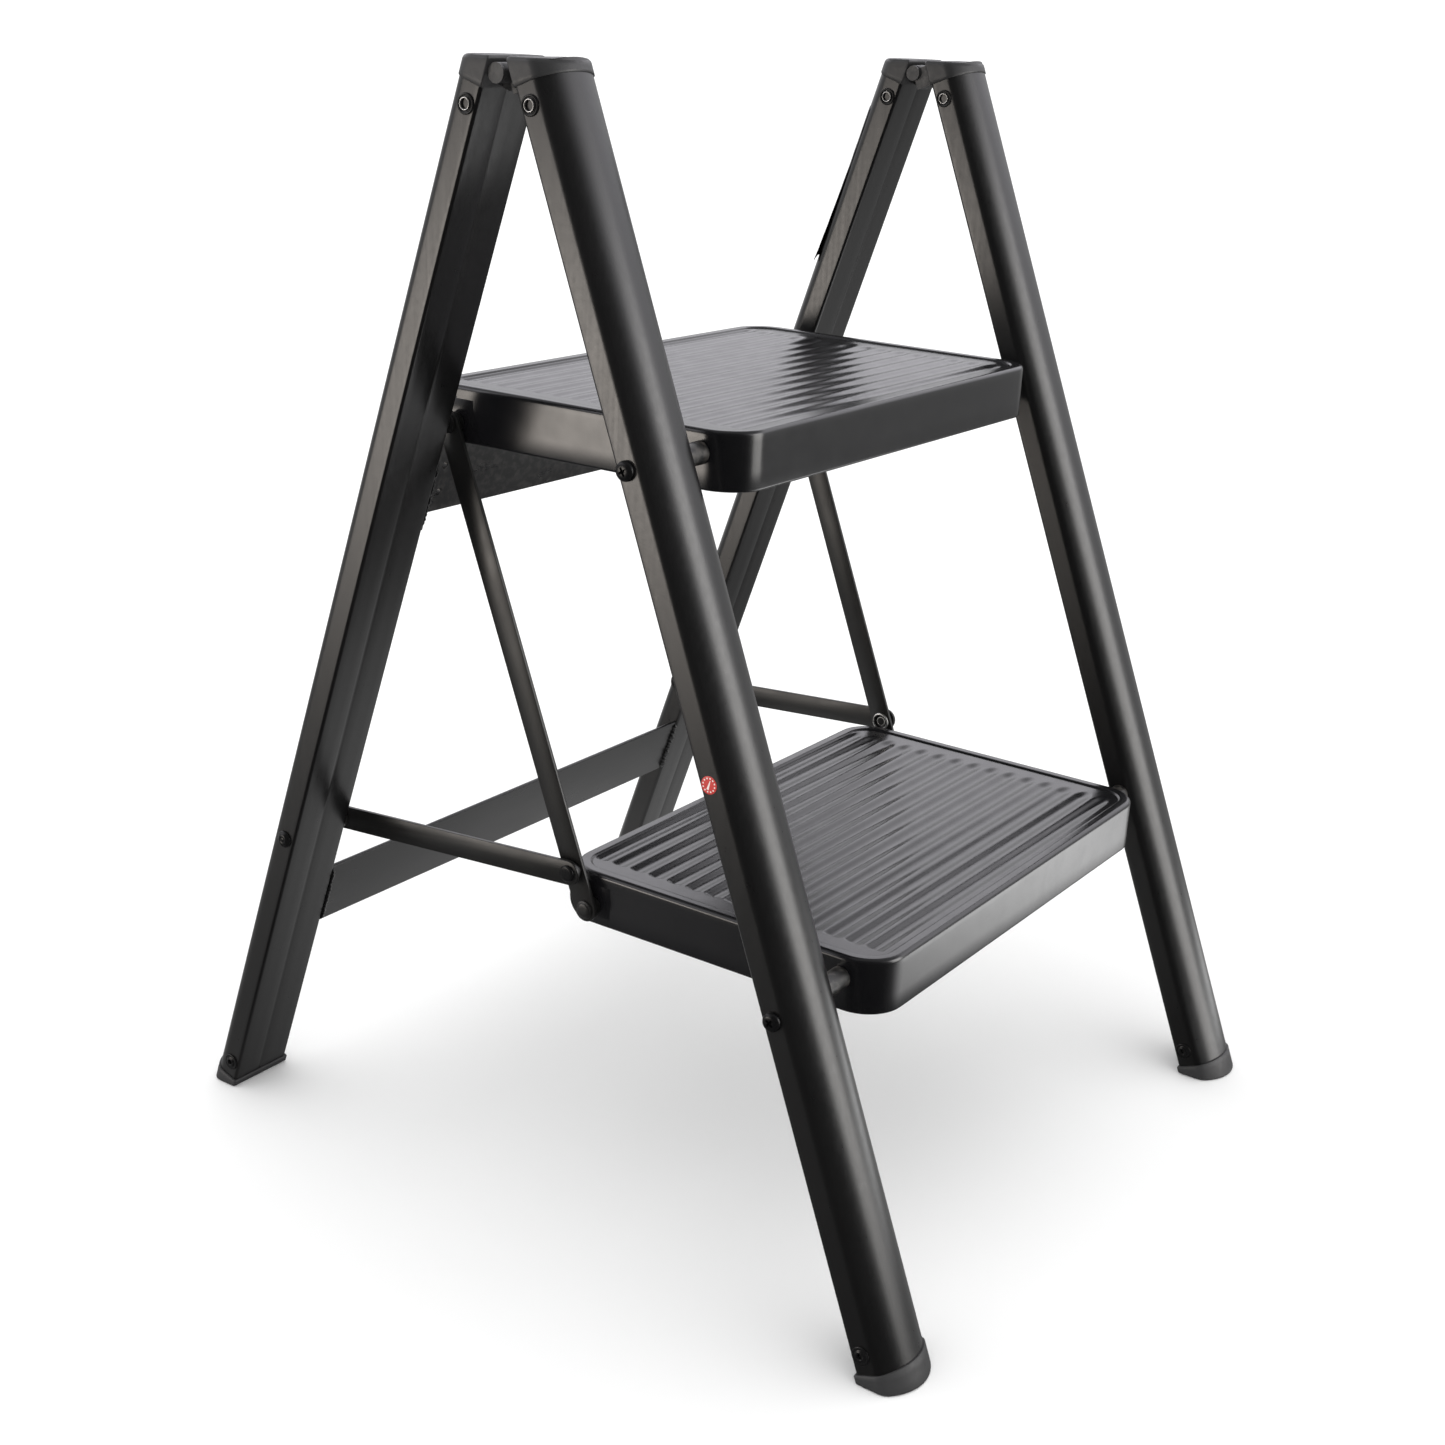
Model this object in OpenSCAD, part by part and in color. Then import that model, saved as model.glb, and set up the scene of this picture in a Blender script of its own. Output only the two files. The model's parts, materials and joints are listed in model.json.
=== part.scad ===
// Folding two-step ladder: D-section legs, plastic hinge caps, two pressed trays, fold linkage.
// Frame: X across the width, -Y is the climbing side, Z up, z = 0 at the soles.
// The origin is under the middle of the footprint. Sizes in millimetres.

/* [Overall] */
// height of the fold hinge axis above the floor
hinge_h = 717.2; // [600:0.1:900]
// distance of the hinge axis behind the middle of the footprint
hinge_y = 23.1; // [0:0.1:60]
// height of the level top of the hinge caps
cap_top_h = 726.4; // [610:0.1:910]
// half width over the leg outer faces at the hinge
half_w = 253.6; // [200:0.1:300]
// lean of the front legs from vertical, degrees
front_lean = 21.3; // [10:0.1:30]
// lean of the rear legs from vertical, degrees
rear_lean = 18.5; // [10:0.1:30]
// sideways splay of the front legs, degrees
splay = 0.57; // [0:0.01:3]
// distance from the hinge axis to the inner flat of the front legs
front_gap = 11.7; // [7:0.1:20]
// distance from the hinge axis to the inner flat of the rear legs
rear_gap = 6.15; // [6:0.05:20]

/* [Leg profile] */
// leg profile width
leg_w = 49; // [35:0.5:70]
// leg profile depth at the middle of the crown
leg_d = 27.3; // [18:0.1:35]
// width of the flat side strip of the leg
strip_w = 16.3; // [8:0.1:20]
// radius of the soft shoulder between the strip and the crown
shoulder_r = 8; // [1:0.5:12]
// wall thickness of the leg profile
leg_wall = 1.8; // [1.2:0.1:4]
// how far the caps stand proud of the leg
cap_proud = 0.8; // [0.4:0.1:2]
// how far the feet stand proud of the leg
foot_proud = 1.3; // [0.5:0.1:3]

/* [Steps] */
// step width over the side skirts
step_w = 371.6; // [300:0.1:450]
// step depth, front to back
step_d = 243; // [180:1:300]
// step skirt height
skirt_h = 36; // [25:0.5:60]
// sheet thickness of the step
sheet = 1.6; // [1:0.1:3]
// plan radius of the step corners
corner_r = 26; // [10:1:60]
// rounding of the top edge of the step
edge_r = 3; // [1:0.5:6]
// width of the raised rim
rim_w = 8; // [4:0.5:20]
// depth of the panel below the rim
panel_drop = 1.2; // [0.5:0.1:4]
// number of grooves in a step
groove_n = 15; // [5:1:20]
// spacing of the grooves
groove_pitch = 15; // [10:0.5:25]
// length of the straight part of a groove
groove_len = 322; // [200:1:380]
// groove radius
groove_r = 5.2; // [3:0.1:8]
// groove depth below the panel
groove_drop = 1.6; // [1:0.1:4]

/* [Step pivots] */
// upper step pivot: distance in front of the hinge, and height
upper_out = 100.2; // [50:0.1:150]
upper_z = 512; // [400:0.1:650]
// lower step pivot: distance in front of the hinge, and height
lower_out = 218; // [150:0.1:280]
lower_z = 211.8; // [150:0.1:300]
// pivot distance behind the front edge of the step
pivot_back = 28; // [15:0.5:60]
// pivot distance below the top of the step
pivot_drop = 14; // [8:0.5:25]
// diameter of the spacer tube on each pivot
tube_d = 14; // [8:0.5:25]

/* [Links] */
// rear pivot of a step, measured from its front pivot, y and z
link_dy = 189.2; // [100:0.1:250]
link_dz = -9.3; // [-20:0.1:20]
// width of the link bars
link_w = 16.6; // [10:0.1:25]
// thickness of the link bars
link_t = 2.5; // [1.5:0.1:5]
// distance of the cross link joint above the lower rear pivot, along the upright link
joint_up = 26.608; // [15:0.001:60]
// distance of the leg pivot of the cross link below the hinge, along the rear leg
leg_pivot_down = 537.4; // [450:0.1:640]
// distance of that pivot behind the inner flat of the rear leg
leg_pivot_in = 8.4; // [5:0.1:12]

/* [Crossbars] */
// height of the crossbars
bar_h = 48.5; // [30:0.5:70]
// distance of the upper crossbar top below the hinge, along the leg
upper_bar_down = 254.9; // [200:0.1:350]
// distance of the lower crossbar top below the hinge, along the leg
lower_bar_down = 575.9; // [450:0.1:640]
// thickness of the lower crossbar
lower_bar_t = 3.2; // [2:0.1:12]

/* [Hidden] */
leg_x = half_w - leg_w / 2;
upper_y = hinge_y - upper_out;
lower_y = hinge_y - lower_out;
crown_s = leg_d - strip_w;
crown_r = (pow(leg_w / 2, 2) + pow(crown_s, 2)) / (2 * crown_s);
crown_y = leg_d - crown_r;
shoulder_x = leg_w / 2 - shoulder_r;
shoulder_y = crown_y + sqrt(pow(crown_r - shoulder_r, 2) - pow(shoulder_x, 2));
rivet_in = 7.5;
gap = 0.3;
// bottom and top stations along the leg, measured from the hinge
front_cap_lip = 12.3;
rear_cap_lip = 10.7;
plug_len = 34;
front_lip = (hinge_h + front_gap * sin(front_lean) - 5.2) / cos(front_lean);
rear_lip = (hinge_h + rear_gap * sin(rear_lean) - 5.2) / cos(rear_lean);
seat = 2.2;
front_rivet = 24.5;
rear_rivet = 22.9;
foot_rivet = 12.5;
// hinge
lug_r = 5.7;
pin_d = 6;
pin_fit = 0.06;
lug_end = half_w - 1.6;
lug_in = half_w - leg_w + 1.6;
lug_len = (lug_end - lug_in) / 3;
web_set_in = 9;
// planes across the width: skirt, upright link, cross link, leg
skirt_x = step_w / 2;
upright_x = 192;
cross_x = upright_x + link_t + 3.5;
leg_in_x = half_w - leg_w;
link_len = sqrt(pow(upper_y - lower_y, 2) + pow(upper_z - lower_z, 2));
link_lean = atan2(upper_y - lower_y, upper_z - lower_z);
b1 = [upper_y + link_dy, upper_z + link_dz];
b2 = [lower_y + link_dy, lower_z + link_dz];
c0 = [b2[0] + joint_up * sin(link_lean), b2[1] + joint_up * cos(link_lean)];
d_in = rear_gap + leg_pivot_in;
d0 = [hinge_y + d_in * cos(rear_lean) + leg_pivot_down * sin(rear_lean),
      hinge_h + d_in * sin(rear_lean) - leg_pivot_down * cos(rear_lean)];
cross_len = sqrt(pow(d0[0] - c0[0], 2) + pow(d0[1] - c0[1], 2));
cross_ang = atan2(d0[1] - c0[1], d0[0] - c0[0]);
big = 400;
$fn = 48;

// ---------- shared shapes ----------

// D profile grown by g: flat side on y = 0, crown towards +y
module d_profile(g = 0) {
    intersection() {
        translate([-leg_w / 2 - g, -g]) square([leg_w + 2 * g, leg_d + 2 * g]);
        translate([0, crown_y]) circle(r = crown_r + g, $fn = 96);
    }
}

// what the soft shoulder takes off the left corner of that profile
module shoulder_cut(g) {
    ux = -shoulder_x / (crown_r - shoulder_r);
    uy = (shoulder_y - crown_y) / (crown_r - shoulder_r);
    reach = shoulder_r + g + 8;
    difference() {
        polygon([[-shoulder_x, shoulder_y], [-shoulder_x - reach, shoulder_y],
            [-shoulder_x - reach, shoulder_y + reach * uy],
            [-shoulder_x + reach * ux, shoulder_y + reach * uy]]);
        translate([-shoulder_x, shoulder_y]) circle(r = shoulder_r + g, $fn = 64);
    }
}

module leg_profile(g = 0) {
    difference() {
        d_profile(g);
        shoulder_cut(g);
        mirror([1, 0]) shoulder_cut(g);
    }
}

// straight piece of that profile between two stations below the hinge
module d_bar(g, from, to) {
    translate([0, 0, -to]) linear_extrude(height = to - from) leg_profile(g);
}

// moves a piece drawn in leg coordinates to the front legs of both sides or one side
module front_place(splayed = true) {
    translate([0, hinge_y, hinge_h])
        rotate([-front_lean, 0, 0])
            translate([-leg_x, -front_gap, 0])
                rotate([0, splayed ? splay : 0, 0])
                    mirror([0, 1, 0]) children();
}

// the same for the rear legs, crown towards the back
module rear_place() {
    translate([0, hinge_y, hinge_h])
        rotate([rear_lean, 0, 0])
            translate([-leg_x, rear_gap, 0]) children();
}

module right_side() {
    mirror([1, 0, 0]) children();
}

module both_sides() {
    children();
    right_side() children();
}

// rod along X between two distances from the middle, on the left side
module x_rod(r, near, far, y = 0, z = 0, fn = 32) {
    translate([-far, y, z]) rotate([0, 90, 0]) cylinder(h = far - near, r = r, $fn = fn);
}

// flange rivet on a leg side face: dished head, rolled collar and open middle, axis along +x
module tube_rivet(head_r = 6, shank = 3) {
    difference() {
        union() {
            rotate([0, -90, 0]) cylinder(h = 1.1, r = head_r, $fn = 40);
            rotate([0, -90, 0]) cylinder(h = 1.7, r = head_r - 1.6, $fn = 40);
            rotate([0, -90, 0]) cylinder(h = 2.1, r = 2.9, $fn = 32);
            rotate([0, 90, 0]) cylinder(h = shank, r = 2.4, $fn = 32);
        }
        translate([0.5, 0, 0]) rotate([0, -90, 0]) cylinder(h = 4, r = 1.6, $fn = 24);
    }
}

// ---------- legs ----------

module leg_bore(z, y = rivet_in, r = 2.7) {
    translate([0, y, -z]) rotate([0, 90, 0]) cylinder(h = leg_w + 10, r = r, center = true, $fn = 32);
}

module leg_body(lip, cap_rivet) {
    difference() {
        d_bar(0, 4, lip + seat);
        translate([0, 0, -lip - seat - 1]) linear_extrude(height = lip + seat)
            leg_profile(-leg_wall);
        leg_bore(cap_rivet);
        leg_bore(lip - foot_rivet);
    }
}

module front_leg() {
    color([0.13, 0.13, 0.14]) difference() {
        front_place() leg_body(front_lip, front_rivet);
        x_rod(3.4, leg_in_x - 15, half_w + 15, upper_y, upper_z);
        x_rod(3.4, leg_in_x - 15, half_w + 15, lower_y, lower_z);
    }
}

module rear_leg() {
    color([0.13, 0.13, 0.14]) difference() {
        rear_place() leg_body(rear_lip, rear_rivet);
        x_rod(2.9, leg_in_x - 15, half_w + 15, d0[0], d0[1]);
    }
}

module front_leg_left() {
    front_leg();
}

module front_leg_right() {
    right_side() front_leg();
}

module rear_leg_left() {
    rear_leg();
}

module rear_leg_right() {
    right_side() rear_leg();
}

// ---------- hinge caps ----------

// hollow-profile plug shared by caps and feet
module plug(from, to) {
    d_bar(-leg_wall - gap, from, to);
}

module cap_shell(lip, rivet) {
    difference() {
        d_bar(cap_proud, -30, lip);
        d_bar(0.05, 4 - gap, lip + 1);
    }
    difference() {
        plug(3, plug_len);
        leg_bore(rivet);
    }
}

module below_top() {
    intersection() {
        children();
        translate([-big, -big, hinge_h - 200]) cube([2 * big, 2 * big, 200 + cap_top_h - hinge_h]);
    }
}

// hinge lug: barrel round the axis with a web back to the cap
module lug(near, far, lean, dir, reach, lip, web_in = 0) {
    difference() {
        union() {
            x_rod(lug_r, near, far, hinge_y, hinge_h, 40);
            translate([0, hinge_y, hinge_h]) rotate([lean, 0, 0])
                translate([-far + web_in, dir > 0 ? 0 : -reach, -lip])
                    cube([far - near - web_in, reach, lip + 2]);
        }
        x_rod(pin_d / 2 + pin_fit, near - 1, far + 1, hinge_y, hinge_h, 40);
    }
}

module front_cap() {
    color([0.16, 0.16, 0.165]) union() {
        below_top() front_place() cap_shell(front_cap_lip, front_rivet);
        lug(lug_in + 2 * lug_len + 0.25, lug_end - 2, -front_lean, -1, front_gap - 0.4, front_cap_lip,
            web_set_in);
        lug(lug_in, lug_in + lug_len - 0.25, -front_lean, -1, front_gap - 0.4, front_cap_lip);
    }
}

module rear_cap() {
    color([0.16, 0.16, 0.165]) union() {
        difference() {
            below_top() rear_place() cap_shell(rear_cap_lip, rear_rivet);
            // rooms for the front barrels and the pin head
            x_rod(lug_r + 0.3, lug_in - 10, lug_in + lug_len + 0.1, hinge_y, hinge_h);
            x_rod(lug_r + 0.3, lug_in + 2 * lug_len - 0.1, half_w + 10, hinge_y, hinge_h);
        }
        lug(lug_in + lug_len + 0.25, lug_in + 2 * lug_len - 0.25, rear_lean, 1, rear_gap - 0.4, rear_cap_lip);
    }
}

module front_cap_left() {
    front_cap();
}

module front_cap_right() {
    right_side() front_cap();
}

module rear_cap_left() {
    rear_cap();
}

module rear_cap_right() {
    right_side() rear_cap();
}

module hinge_pins() {
    color([0.2, 0.2, 0.21]) both_sides() {
        x_rod(pin_d / 2, lug_in - 2.2, lug_end - 1.9, hinge_y, hinge_h, 40);
        x_rod(lug_r - 0.05, lug_end - 1.95, lug_end, hinge_y, hinge_h, 40);
        x_rod(lug_r - 0.5, lug_in - 2.2, lug_in - 0.3, hinge_y, hinge_h, 40);
    }
}

// ---------- feet ----------

module above_floor() {
    intersection() {
        children();
        translate([-big, -big, 0]) cube([2 * big, 2 * big, 200]);
    }
}

module foot_shell(lip) {
    difference() {
        d_bar(foot_proud, lip, lip + 40);
        d_bar(0.05, lip - 1, lip + seat + 0.05);
    }
    difference() {
        plug(lip - plug_len, lip + seat + 0.2);
        leg_bore(lip - foot_rivet);
    }
}

module front_foot() {
    color([0.09, 0.09, 0.095]) above_floor() front_place() foot_shell(front_lip);
}

module rear_foot() {
    color([0.09, 0.09, 0.095]) above_floor() rear_place() foot_shell(rear_lip);
}

module front_foot_left() {
    front_foot();
}

module front_foot_right() {
    right_side() front_foot();
}

module rear_foot_left() {
    rear_foot();
}

module rear_foot_right() {
    right_side() rear_foot();
}

// ---------- rivets in the legs ----------

// one rivet on the outer and one on the inner side face of a leg
module rivet_pair(z) {
    translate([-leg_w / 2, rivet_in, -z]) tube_rivet();
    translate([leg_w / 2, rivet_in, -z]) rotate([0, 0, 180]) tube_rivet();
}

module front_cap_rivets() {
    color([0.08, 0.08, 0.09]) both_sides() front_place() rivet_pair(front_rivet);
}

module front_foot_rivets() {
    color([0.08, 0.08, 0.09]) both_sides() front_place() rivet_pair(front_lip - foot_rivet);
}

module rear_cap_rivets() {
    color([0.08, 0.08, 0.09]) both_sides() rear_place() rivet_pair(rear_rivet);
}

module rear_foot_rivets() {
    color([0.08, 0.08, 0.09]) both_sides() rear_place() rivet_pair(rear_lip - foot_rivet);
}

// ---------- crossbars ----------

module rear_frame_place() {
    translate([0, hinge_y, hinge_h]) rotate([rear_lean, 0, 0]) translate([0, rear_gap, 0]) children();
}

// flat bar behind the links, ends bent forward onto the leg side faces
module upper_crossbar() {
    arm = leg_in_x - gap;
    color([0.12, 0.12, 0.13]) rear_frame_place()
        translate([0, 0, -upper_bar_down - bar_h]) {
            difference() {
                translate([-arm, 2.5, 0]) cube([2 * arm, 20.5, bar_h]);
                translate([-arm + 2.6, 0, -1]) cube([2 * arm - 5.2, 19, bar_h + 2]);
                for (s = [-1, 1], z = [0.3, 0.7])
                    translate([s * (arm - 30), 10, bar_h * z]) rotate([-90, 0, 0])
                        cylinder(h = 20, r = 2.5, $fn = 24);
            }
        }
}

// flat bar between the rear legs, near their front faces
module lower_crossbar() {
    arm = leg_in_x - gap;
    color([0.12, 0.12, 0.13]) rear_frame_place()
        translate([-arm, 1.5, -lower_bar_down - bar_h]) cube([2 * arm, lower_bar_t, bar_h]);
}

// room that the crossbars take out of the weld beads
module crossbar_room() {
    arm = leg_in_x - gap + 0.02;
    rear_frame_place() {
        translate([-arm, 1.5 - 0.02, -lower_bar_down - bar_h - 0.02])
            cube([2 * arm, lower_bar_t + 0.04, bar_h + 0.04]);
        translate([-arm, 2.5 - 0.02, -upper_bar_down - bar_h - 0.02]) cube([2 * arm, 20.54, bar_h + 0.04]);
    }
}

// beads of weld where the crossbars meet the legs
module weld_line(z_from, z_to, y) {
    steps = 8;
    pitch = (z_to - z_from) / steps;
    for (i = [0 : steps])
        translate([leg_in_x + 0.1, y, z_from + pitch * i]) sphere(r = 3.1, $fn = 20);
    translate([leg_in_x + 0.1, y, z_from]) cylinder(h = z_to - z_from, r = 2, $fn = 20);
}

module crossbar_welds() {
    color([0.1, 0.1, 0.11]) both_sides() difference() {
        intersection() {
            rear_frame_place() mirror([1, 0, 0]) {
                weld_line(-lower_bar_down - bar_h + 2, -lower_bar_down - 2, 1.2);
                weld_line(-upper_bar_down - bar_h + 2, -upper_bar_down - 2, 2.4);
            }
            translate([-leg_in_x + 0.03, -big, 0]) cube([20, 2 * big, hinge_h]);
        }
        crossbar_room();
    }
}

// ---------- step trays ----------

module slab(inset, h, r = corner_r) {
    w = step_w - 2 * inset;
    d = step_d - 2 * inset;
    rr = r - inset;
    translate([-w / 2 + rr, -d / 2, 0]) cube([w - 2 * rr, d, h]);
    translate([-w / 2, -d / 2 + rr, 0]) cube([w, d - 2 * rr, h]);
    for (sx = [-1, 1], sy = [-1, 1])
        translate([sx * (w / 2 - rr), sy * (d / 2 - rr), 0]) cylinder(h = h, r = rr, $fn = 64);
}

// rounding that runs round the top edge of the tray
module edge_roll() {
    for (s = [-1, 1]) {
        translate([-step_w / 2 + corner_r, s * (step_d / 2 - edge_r), 0])
            rotate([0, 90, 0]) cylinder(h = step_w - 2 * corner_r, r = edge_r, $fn = 32);
        translate([s * (step_w / 2 - edge_r), -step_d / 2 + corner_r, 0])
            rotate([-90, 0, 0]) cylinder(h = step_d - 2 * corner_r, r = edge_r, $fn = 32);
        for (t = [-1, 1])
            translate([s * (step_w / 2 - corner_r), t * (step_d / 2 - corner_r), 0])
                rotate_extrude($fn = 64) translate([corner_r - edge_r, 0]) circle(r = edge_r, $fn = 32);
    }
}

module groove(r, y, z) {
    translate([0, y, z]) {
        rotate([0, 90, 0]) cylinder(h = groove_len, r = r, center = true, $fn = 18);
        for (s = [-1, 1]) translate([s * groove_len / 2, 0, 0]) sphere(r = r, $fn = 18);
    }
}

// tray drawn with its top at z = 0 and its middle over the origin
module tray() {
    panel_z = -panel_drop;
    groove_z = panel_z - groove_drop + groove_r;
    first = -groove_pitch * (groove_n - 1) / 2 + 2.8;
    difference() {
        union() {
            difference() {
                union() {
                    translate([0, 0, -skirt_h]) slab(0, skirt_h - edge_r);
                    translate([0, 0, -edge_r - 1]) slab(edge_r, edge_r + 1);
                    translate([0, 0, -edge_r]) edge_roll();
                }
                translate([0, 0, -skirt_h - 1]) slab(sheet, skirt_h + 1 - panel_drop - sheet);
                translate([0, 0, panel_z]) slab(rim_w, 10);
            }
            intersection() {
                for (i = [0 : groove_n - 1]) groove(groove_r + sheet, first + i * groove_pitch, groove_z);
                translate([0, 0, -20]) slab(rim_w + 1, 20 - panel_drop - sheet / 2);
            }
        }
        for (i = [0 : groove_n - 1]) groove(groove_r, first + i * groove_pitch, groove_z);
    }
}

// step placed from its front pivot; bores for the pivot bush and the link rivet
module step_at(py, pz) {
    difference() {
        translate([0, py - pivot_back + step_d / 2, pz + pivot_drop]) tray();
        x_rod(5.3, -step_w, step_w, py, pz);
        x_rod(3.3, -step_w, step_w, py + link_dy, pz + link_dz);
    }
}

module upper_step() {
    color([0.1, 0.1, 0.11]) step_at(upper_y, upper_z);
}

module lower_step() {
    color([0.1, 0.1, 0.11]) step_at(lower_y, lower_z);
}

// ---------- step pivots ----------

// bush in the skirt, running on the pivot screw
module step_bush(py, pz) {
    difference() {
        union() {
            x_rod(5.2, skirt_x - sheet - 2, skirt_x + 0.3, py, pz);
            x_rod(6.5, skirt_x - sheet - 2.4, skirt_x - sheet - 0.6, py, pz);
        }
        x_rod(3.05, skirt_x - 20, skirt_x + 20, py, pz);
    }
}

module upper_step_bushes() {
    color([0.5, 0.5, 0.5]) both_sides() step_bush(upper_y, upper_z);
}

module lower_step_bushes() {
    color([0.5, 0.5, 0.5]) both_sides() step_bush(lower_y, lower_z);
}

// how far the splay has carried the front leg outwards at a pivot
function spread(py, pz) =
    ((hinge_h - pz) * cos(front_lean) + (hinge_y - py) * sin(front_lean)) * sin(splay);

// pan head screw with a cross recess, from the leg outer face through to the nut
module pivot_screw(py, pz) {
    face = half_w + spread(py, pz);
    difference() {
        union() {
            x_rod(3, skirt_x - 14, face + 1, py, pz);
            x_rod(6, face + 0.2, face + 2.3, py, pz, 40);
            intersection() {
                x_rod(6, face + 0.2, face + 4.2, py, pz, 40);
                translate([-face + 4.2, py, pz]) sphere(r = 8.4, $fn = 48);
            }
        }
        for (a = [25, 115])
            translate([-face - 4, py, pz]) rotate([a, 0, 0])
                cube([4, 6.4, 1.3], center = true);
    }
}

module upper_pivot_screws() {
    color([0.07, 0.07, 0.08]) both_sides() pivot_screw(upper_y, upper_z);
}

module lower_pivot_screws() {
    color([0.07, 0.07, 0.08]) both_sides() pivot_screw(lower_y, lower_z);
}

// spacer tube between the leg and the step skirt
module pivot_tube(py, pz) {
    face = leg_in_x + spread(py, pz);
    difference() {
        x_rod(tube_d / 2, skirt_x + 0.6, face - 0.2, py, pz, 40);
        x_rod(3.3, skirt_x - 1, face + 1, py, pz);
    }
}

module upper_pivot_tubes() {
    color([0.1, 0.1, 0.11]) both_sides() pivot_tube(upper_y, upper_z);
}

module lower_pivot_tubes() {
    color([0.1, 0.1, 0.11]) both_sides() pivot_tube(lower_y, lower_z);
}

// locking nut on the end of the screw, inside the tray
module pivot_nut(py, pz) {
    difference() {
        x_rod(5.7, skirt_x - sheet - 8.2, skirt_x - sheet - 2.8, py, pz, 6);
        x_rod(3.3, skirt_x - 30, skirt_x, py, pz);
    }
}

module upper_pivot_nuts() {
    color([0.5, 0.5, 0.5]) both_sides() pivot_nut(upper_y, upper_z);
}

module lower_pivot_nuts() {
    color([0.5, 0.5, 0.5]) both_sides() pivot_nut(lower_y, lower_z);
}

// ---------- links ----------

// bar with round ends from (y0, z0), length len, direction ang from +Y, holes at both ends
module link_bar(x_near, y0, z0, len, ang, r0, r1) {
    translate([-x_near - link_t, y0, z0]) rotate([ang, 0, 0]) difference() {
        union() {
            rotate([0, 90, 0]) cylinder(h = link_t, r = link_w / 2, $fn = 40);
            translate([0, 0, -link_w / 2]) cube([link_t, len, link_w]);
            translate([0, len, 0]) rotate([0, 90, 0]) cylinder(h = link_t, r = link_w / 2, $fn = 40);
        }
        translate([-1, 0, 0]) rotate([0, 90, 0]) cylinder(h = link_t + 2, r = r0, $fn = 32);
        translate([-1, len, 0]) rotate([0, 90, 0]) cylinder(h = link_t + 2, r = r1, $fn = 32);
    }
}

module upright_link() {
    color([0.11, 0.11, 0.12]) difference() {
        link_bar(upright_x, b2[0], b2[1], link_len, 90 - link_lean, 3.05, 3.05);
        x_rod(3.3, upright_x - 1, upright_x + link_t + 1, c0[0], c0[1]);
    }
}

module upright_link_left() {
    upright_link();
}

module upright_link_right() {
    right_side() upright_link();
}

module cross_link() {
    color([0.11, 0.11, 0.12])
        link_bar(cross_x, c0[0], c0[1], cross_len, cross_ang, 3.05, 2.9);
}

module cross_link_left() {
    cross_link();
}

module cross_link_right() {
    right_side() cross_link();
}

// rivet fixed in the skirt: collar against the skirt, plain part for the link, domed head outside
module step_rivet(p) {
    difference() {
        union() {
            x_rod(3, skirt_x - sheet - 1.9, upright_x + link_t + 0.6, p[0], p[1]);
            x_rod(6.5, skirt_x + 0.1, upright_x - 0.15, p[0], p[1]);
            x_rod(5.6, upright_x + link_t + 0.15, upright_x + link_t + 2.3, p[0], p[1], 40);
            x_rod(4.6, skirt_x - sheet - 2.2, skirt_x - sheet - 0.5, p[0], p[1], 40);
        }
        x_rod(1.9, skirt_x - sheet - 3, skirt_x + 2, p[0], p[1]);
    }
}

module upper_link_rivets() {
    color([0.08, 0.08, 0.09]) both_sides() step_rivet(b1);
}

module lower_link_rivets() {
    color([0.08, 0.08, 0.09]) both_sides() step_rivet(b2);
}

// rivet that joins the cross link to the upright link, hollow and rolled on the inside
module joint_rivet() {
    color([0.08, 0.08, 0.09]) difference() {
        union() {
            x_rod(3, upright_x - 1.8, cross_x + link_t + 0.6, c0[0], c0[1]);
            x_rod(6.2, upright_x - 2, upright_x - 0.1, c0[0], c0[1], 40);
            x_rod(7, upright_x + link_t + 0.1, cross_x - 0.15, c0[0], c0[1], 40);
            x_rod(5.6, cross_x + link_t + 0.15, cross_x + link_t + 2, c0[0], c0[1], 40);
        }
        x_rod(2.2, upright_x - 3, cross_x + link_t - 0.5, c0[0], c0[1]);
        x_rod(4.6, upright_x - 3, upright_x - 1, c0[0], c0[1]);
    }
}

module joint_rivet_left() {
    joint_rivet();
}

module joint_rivet_right() {
    right_side() joint_rivet();
}

// head of the cross link's leg rivet, carried by the link on its inner face
module cross_rivet() {
    color([0.08, 0.08, 0.09]) union() {
        x_rod(5.6, cross_x - 1.7, cross_x - 0.1, d0[0], d0[1], 40);
        x_rod(2.6, cross_x - 0.5, cross_x + link_t, d0[0], d0[1]);
    }
}

module cross_rivet_left() {
    cross_rivet();
}

module cross_rivet_right() {
    right_side() cross_rivet();
}

// rivet through the rear leg, domed outside
module leg_link_rivets() {
    color([0.08, 0.08, 0.09]) both_sides() {
        x_rod(2.6, leg_in_x - 0.6, half_w + 1, d0[0], d0[1]);
        intersection() {
            x_rod(6, half_w + 0.1, half_w + 3.2, d0[0], d0[1], 40);
            translate([-half_w + 4.6, d0[0], d0[1]]) sphere(r = 7.8, $fn = 48);
        }
    }
}

// washer between the rear leg and the cross link
module leg_link_washers() {
    color([0.5, 0.5, 0.5]) both_sides() difference() {
        x_rod(7, cross_x + link_t + 0.9, leg_in_x - 0.1, d0[0], d0[1], 40);
        x_rod(2.9, cross_x, leg_in_x + 1, d0[0], d0[1]);
    }
}

// ---------- sticker and label ----------

// round inspection sticker on the left front leg
module inspection_sticker() {
    color([0.75, 0.12, 0.1]) front_place()
        translate([-leg_w / 2 - 0.3, 6.8, -409.5]) rotate([0, 90, 0])
            cylinder(h = 0.25, r = 5.4, $fn = 40);
}

// blank paper label on the crown of the right rear leg
module blank_label() {
    color([0.1, 0.1, 0.1]) right_side() rear_place()
        translate([0, 0, -157]) linear_extrude(height = 120) intersection() {
            difference() {
                translate([0, crown_y]) circle(r = crown_r + 0.6, $fn = 96);
                translate([0, crown_y]) circle(r = crown_r + 0.1, $fn = 96);
            }
            translate([3, strip_w + 1]) square([leg_w / 2 - 6.5, 30]);
        }
}

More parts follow.
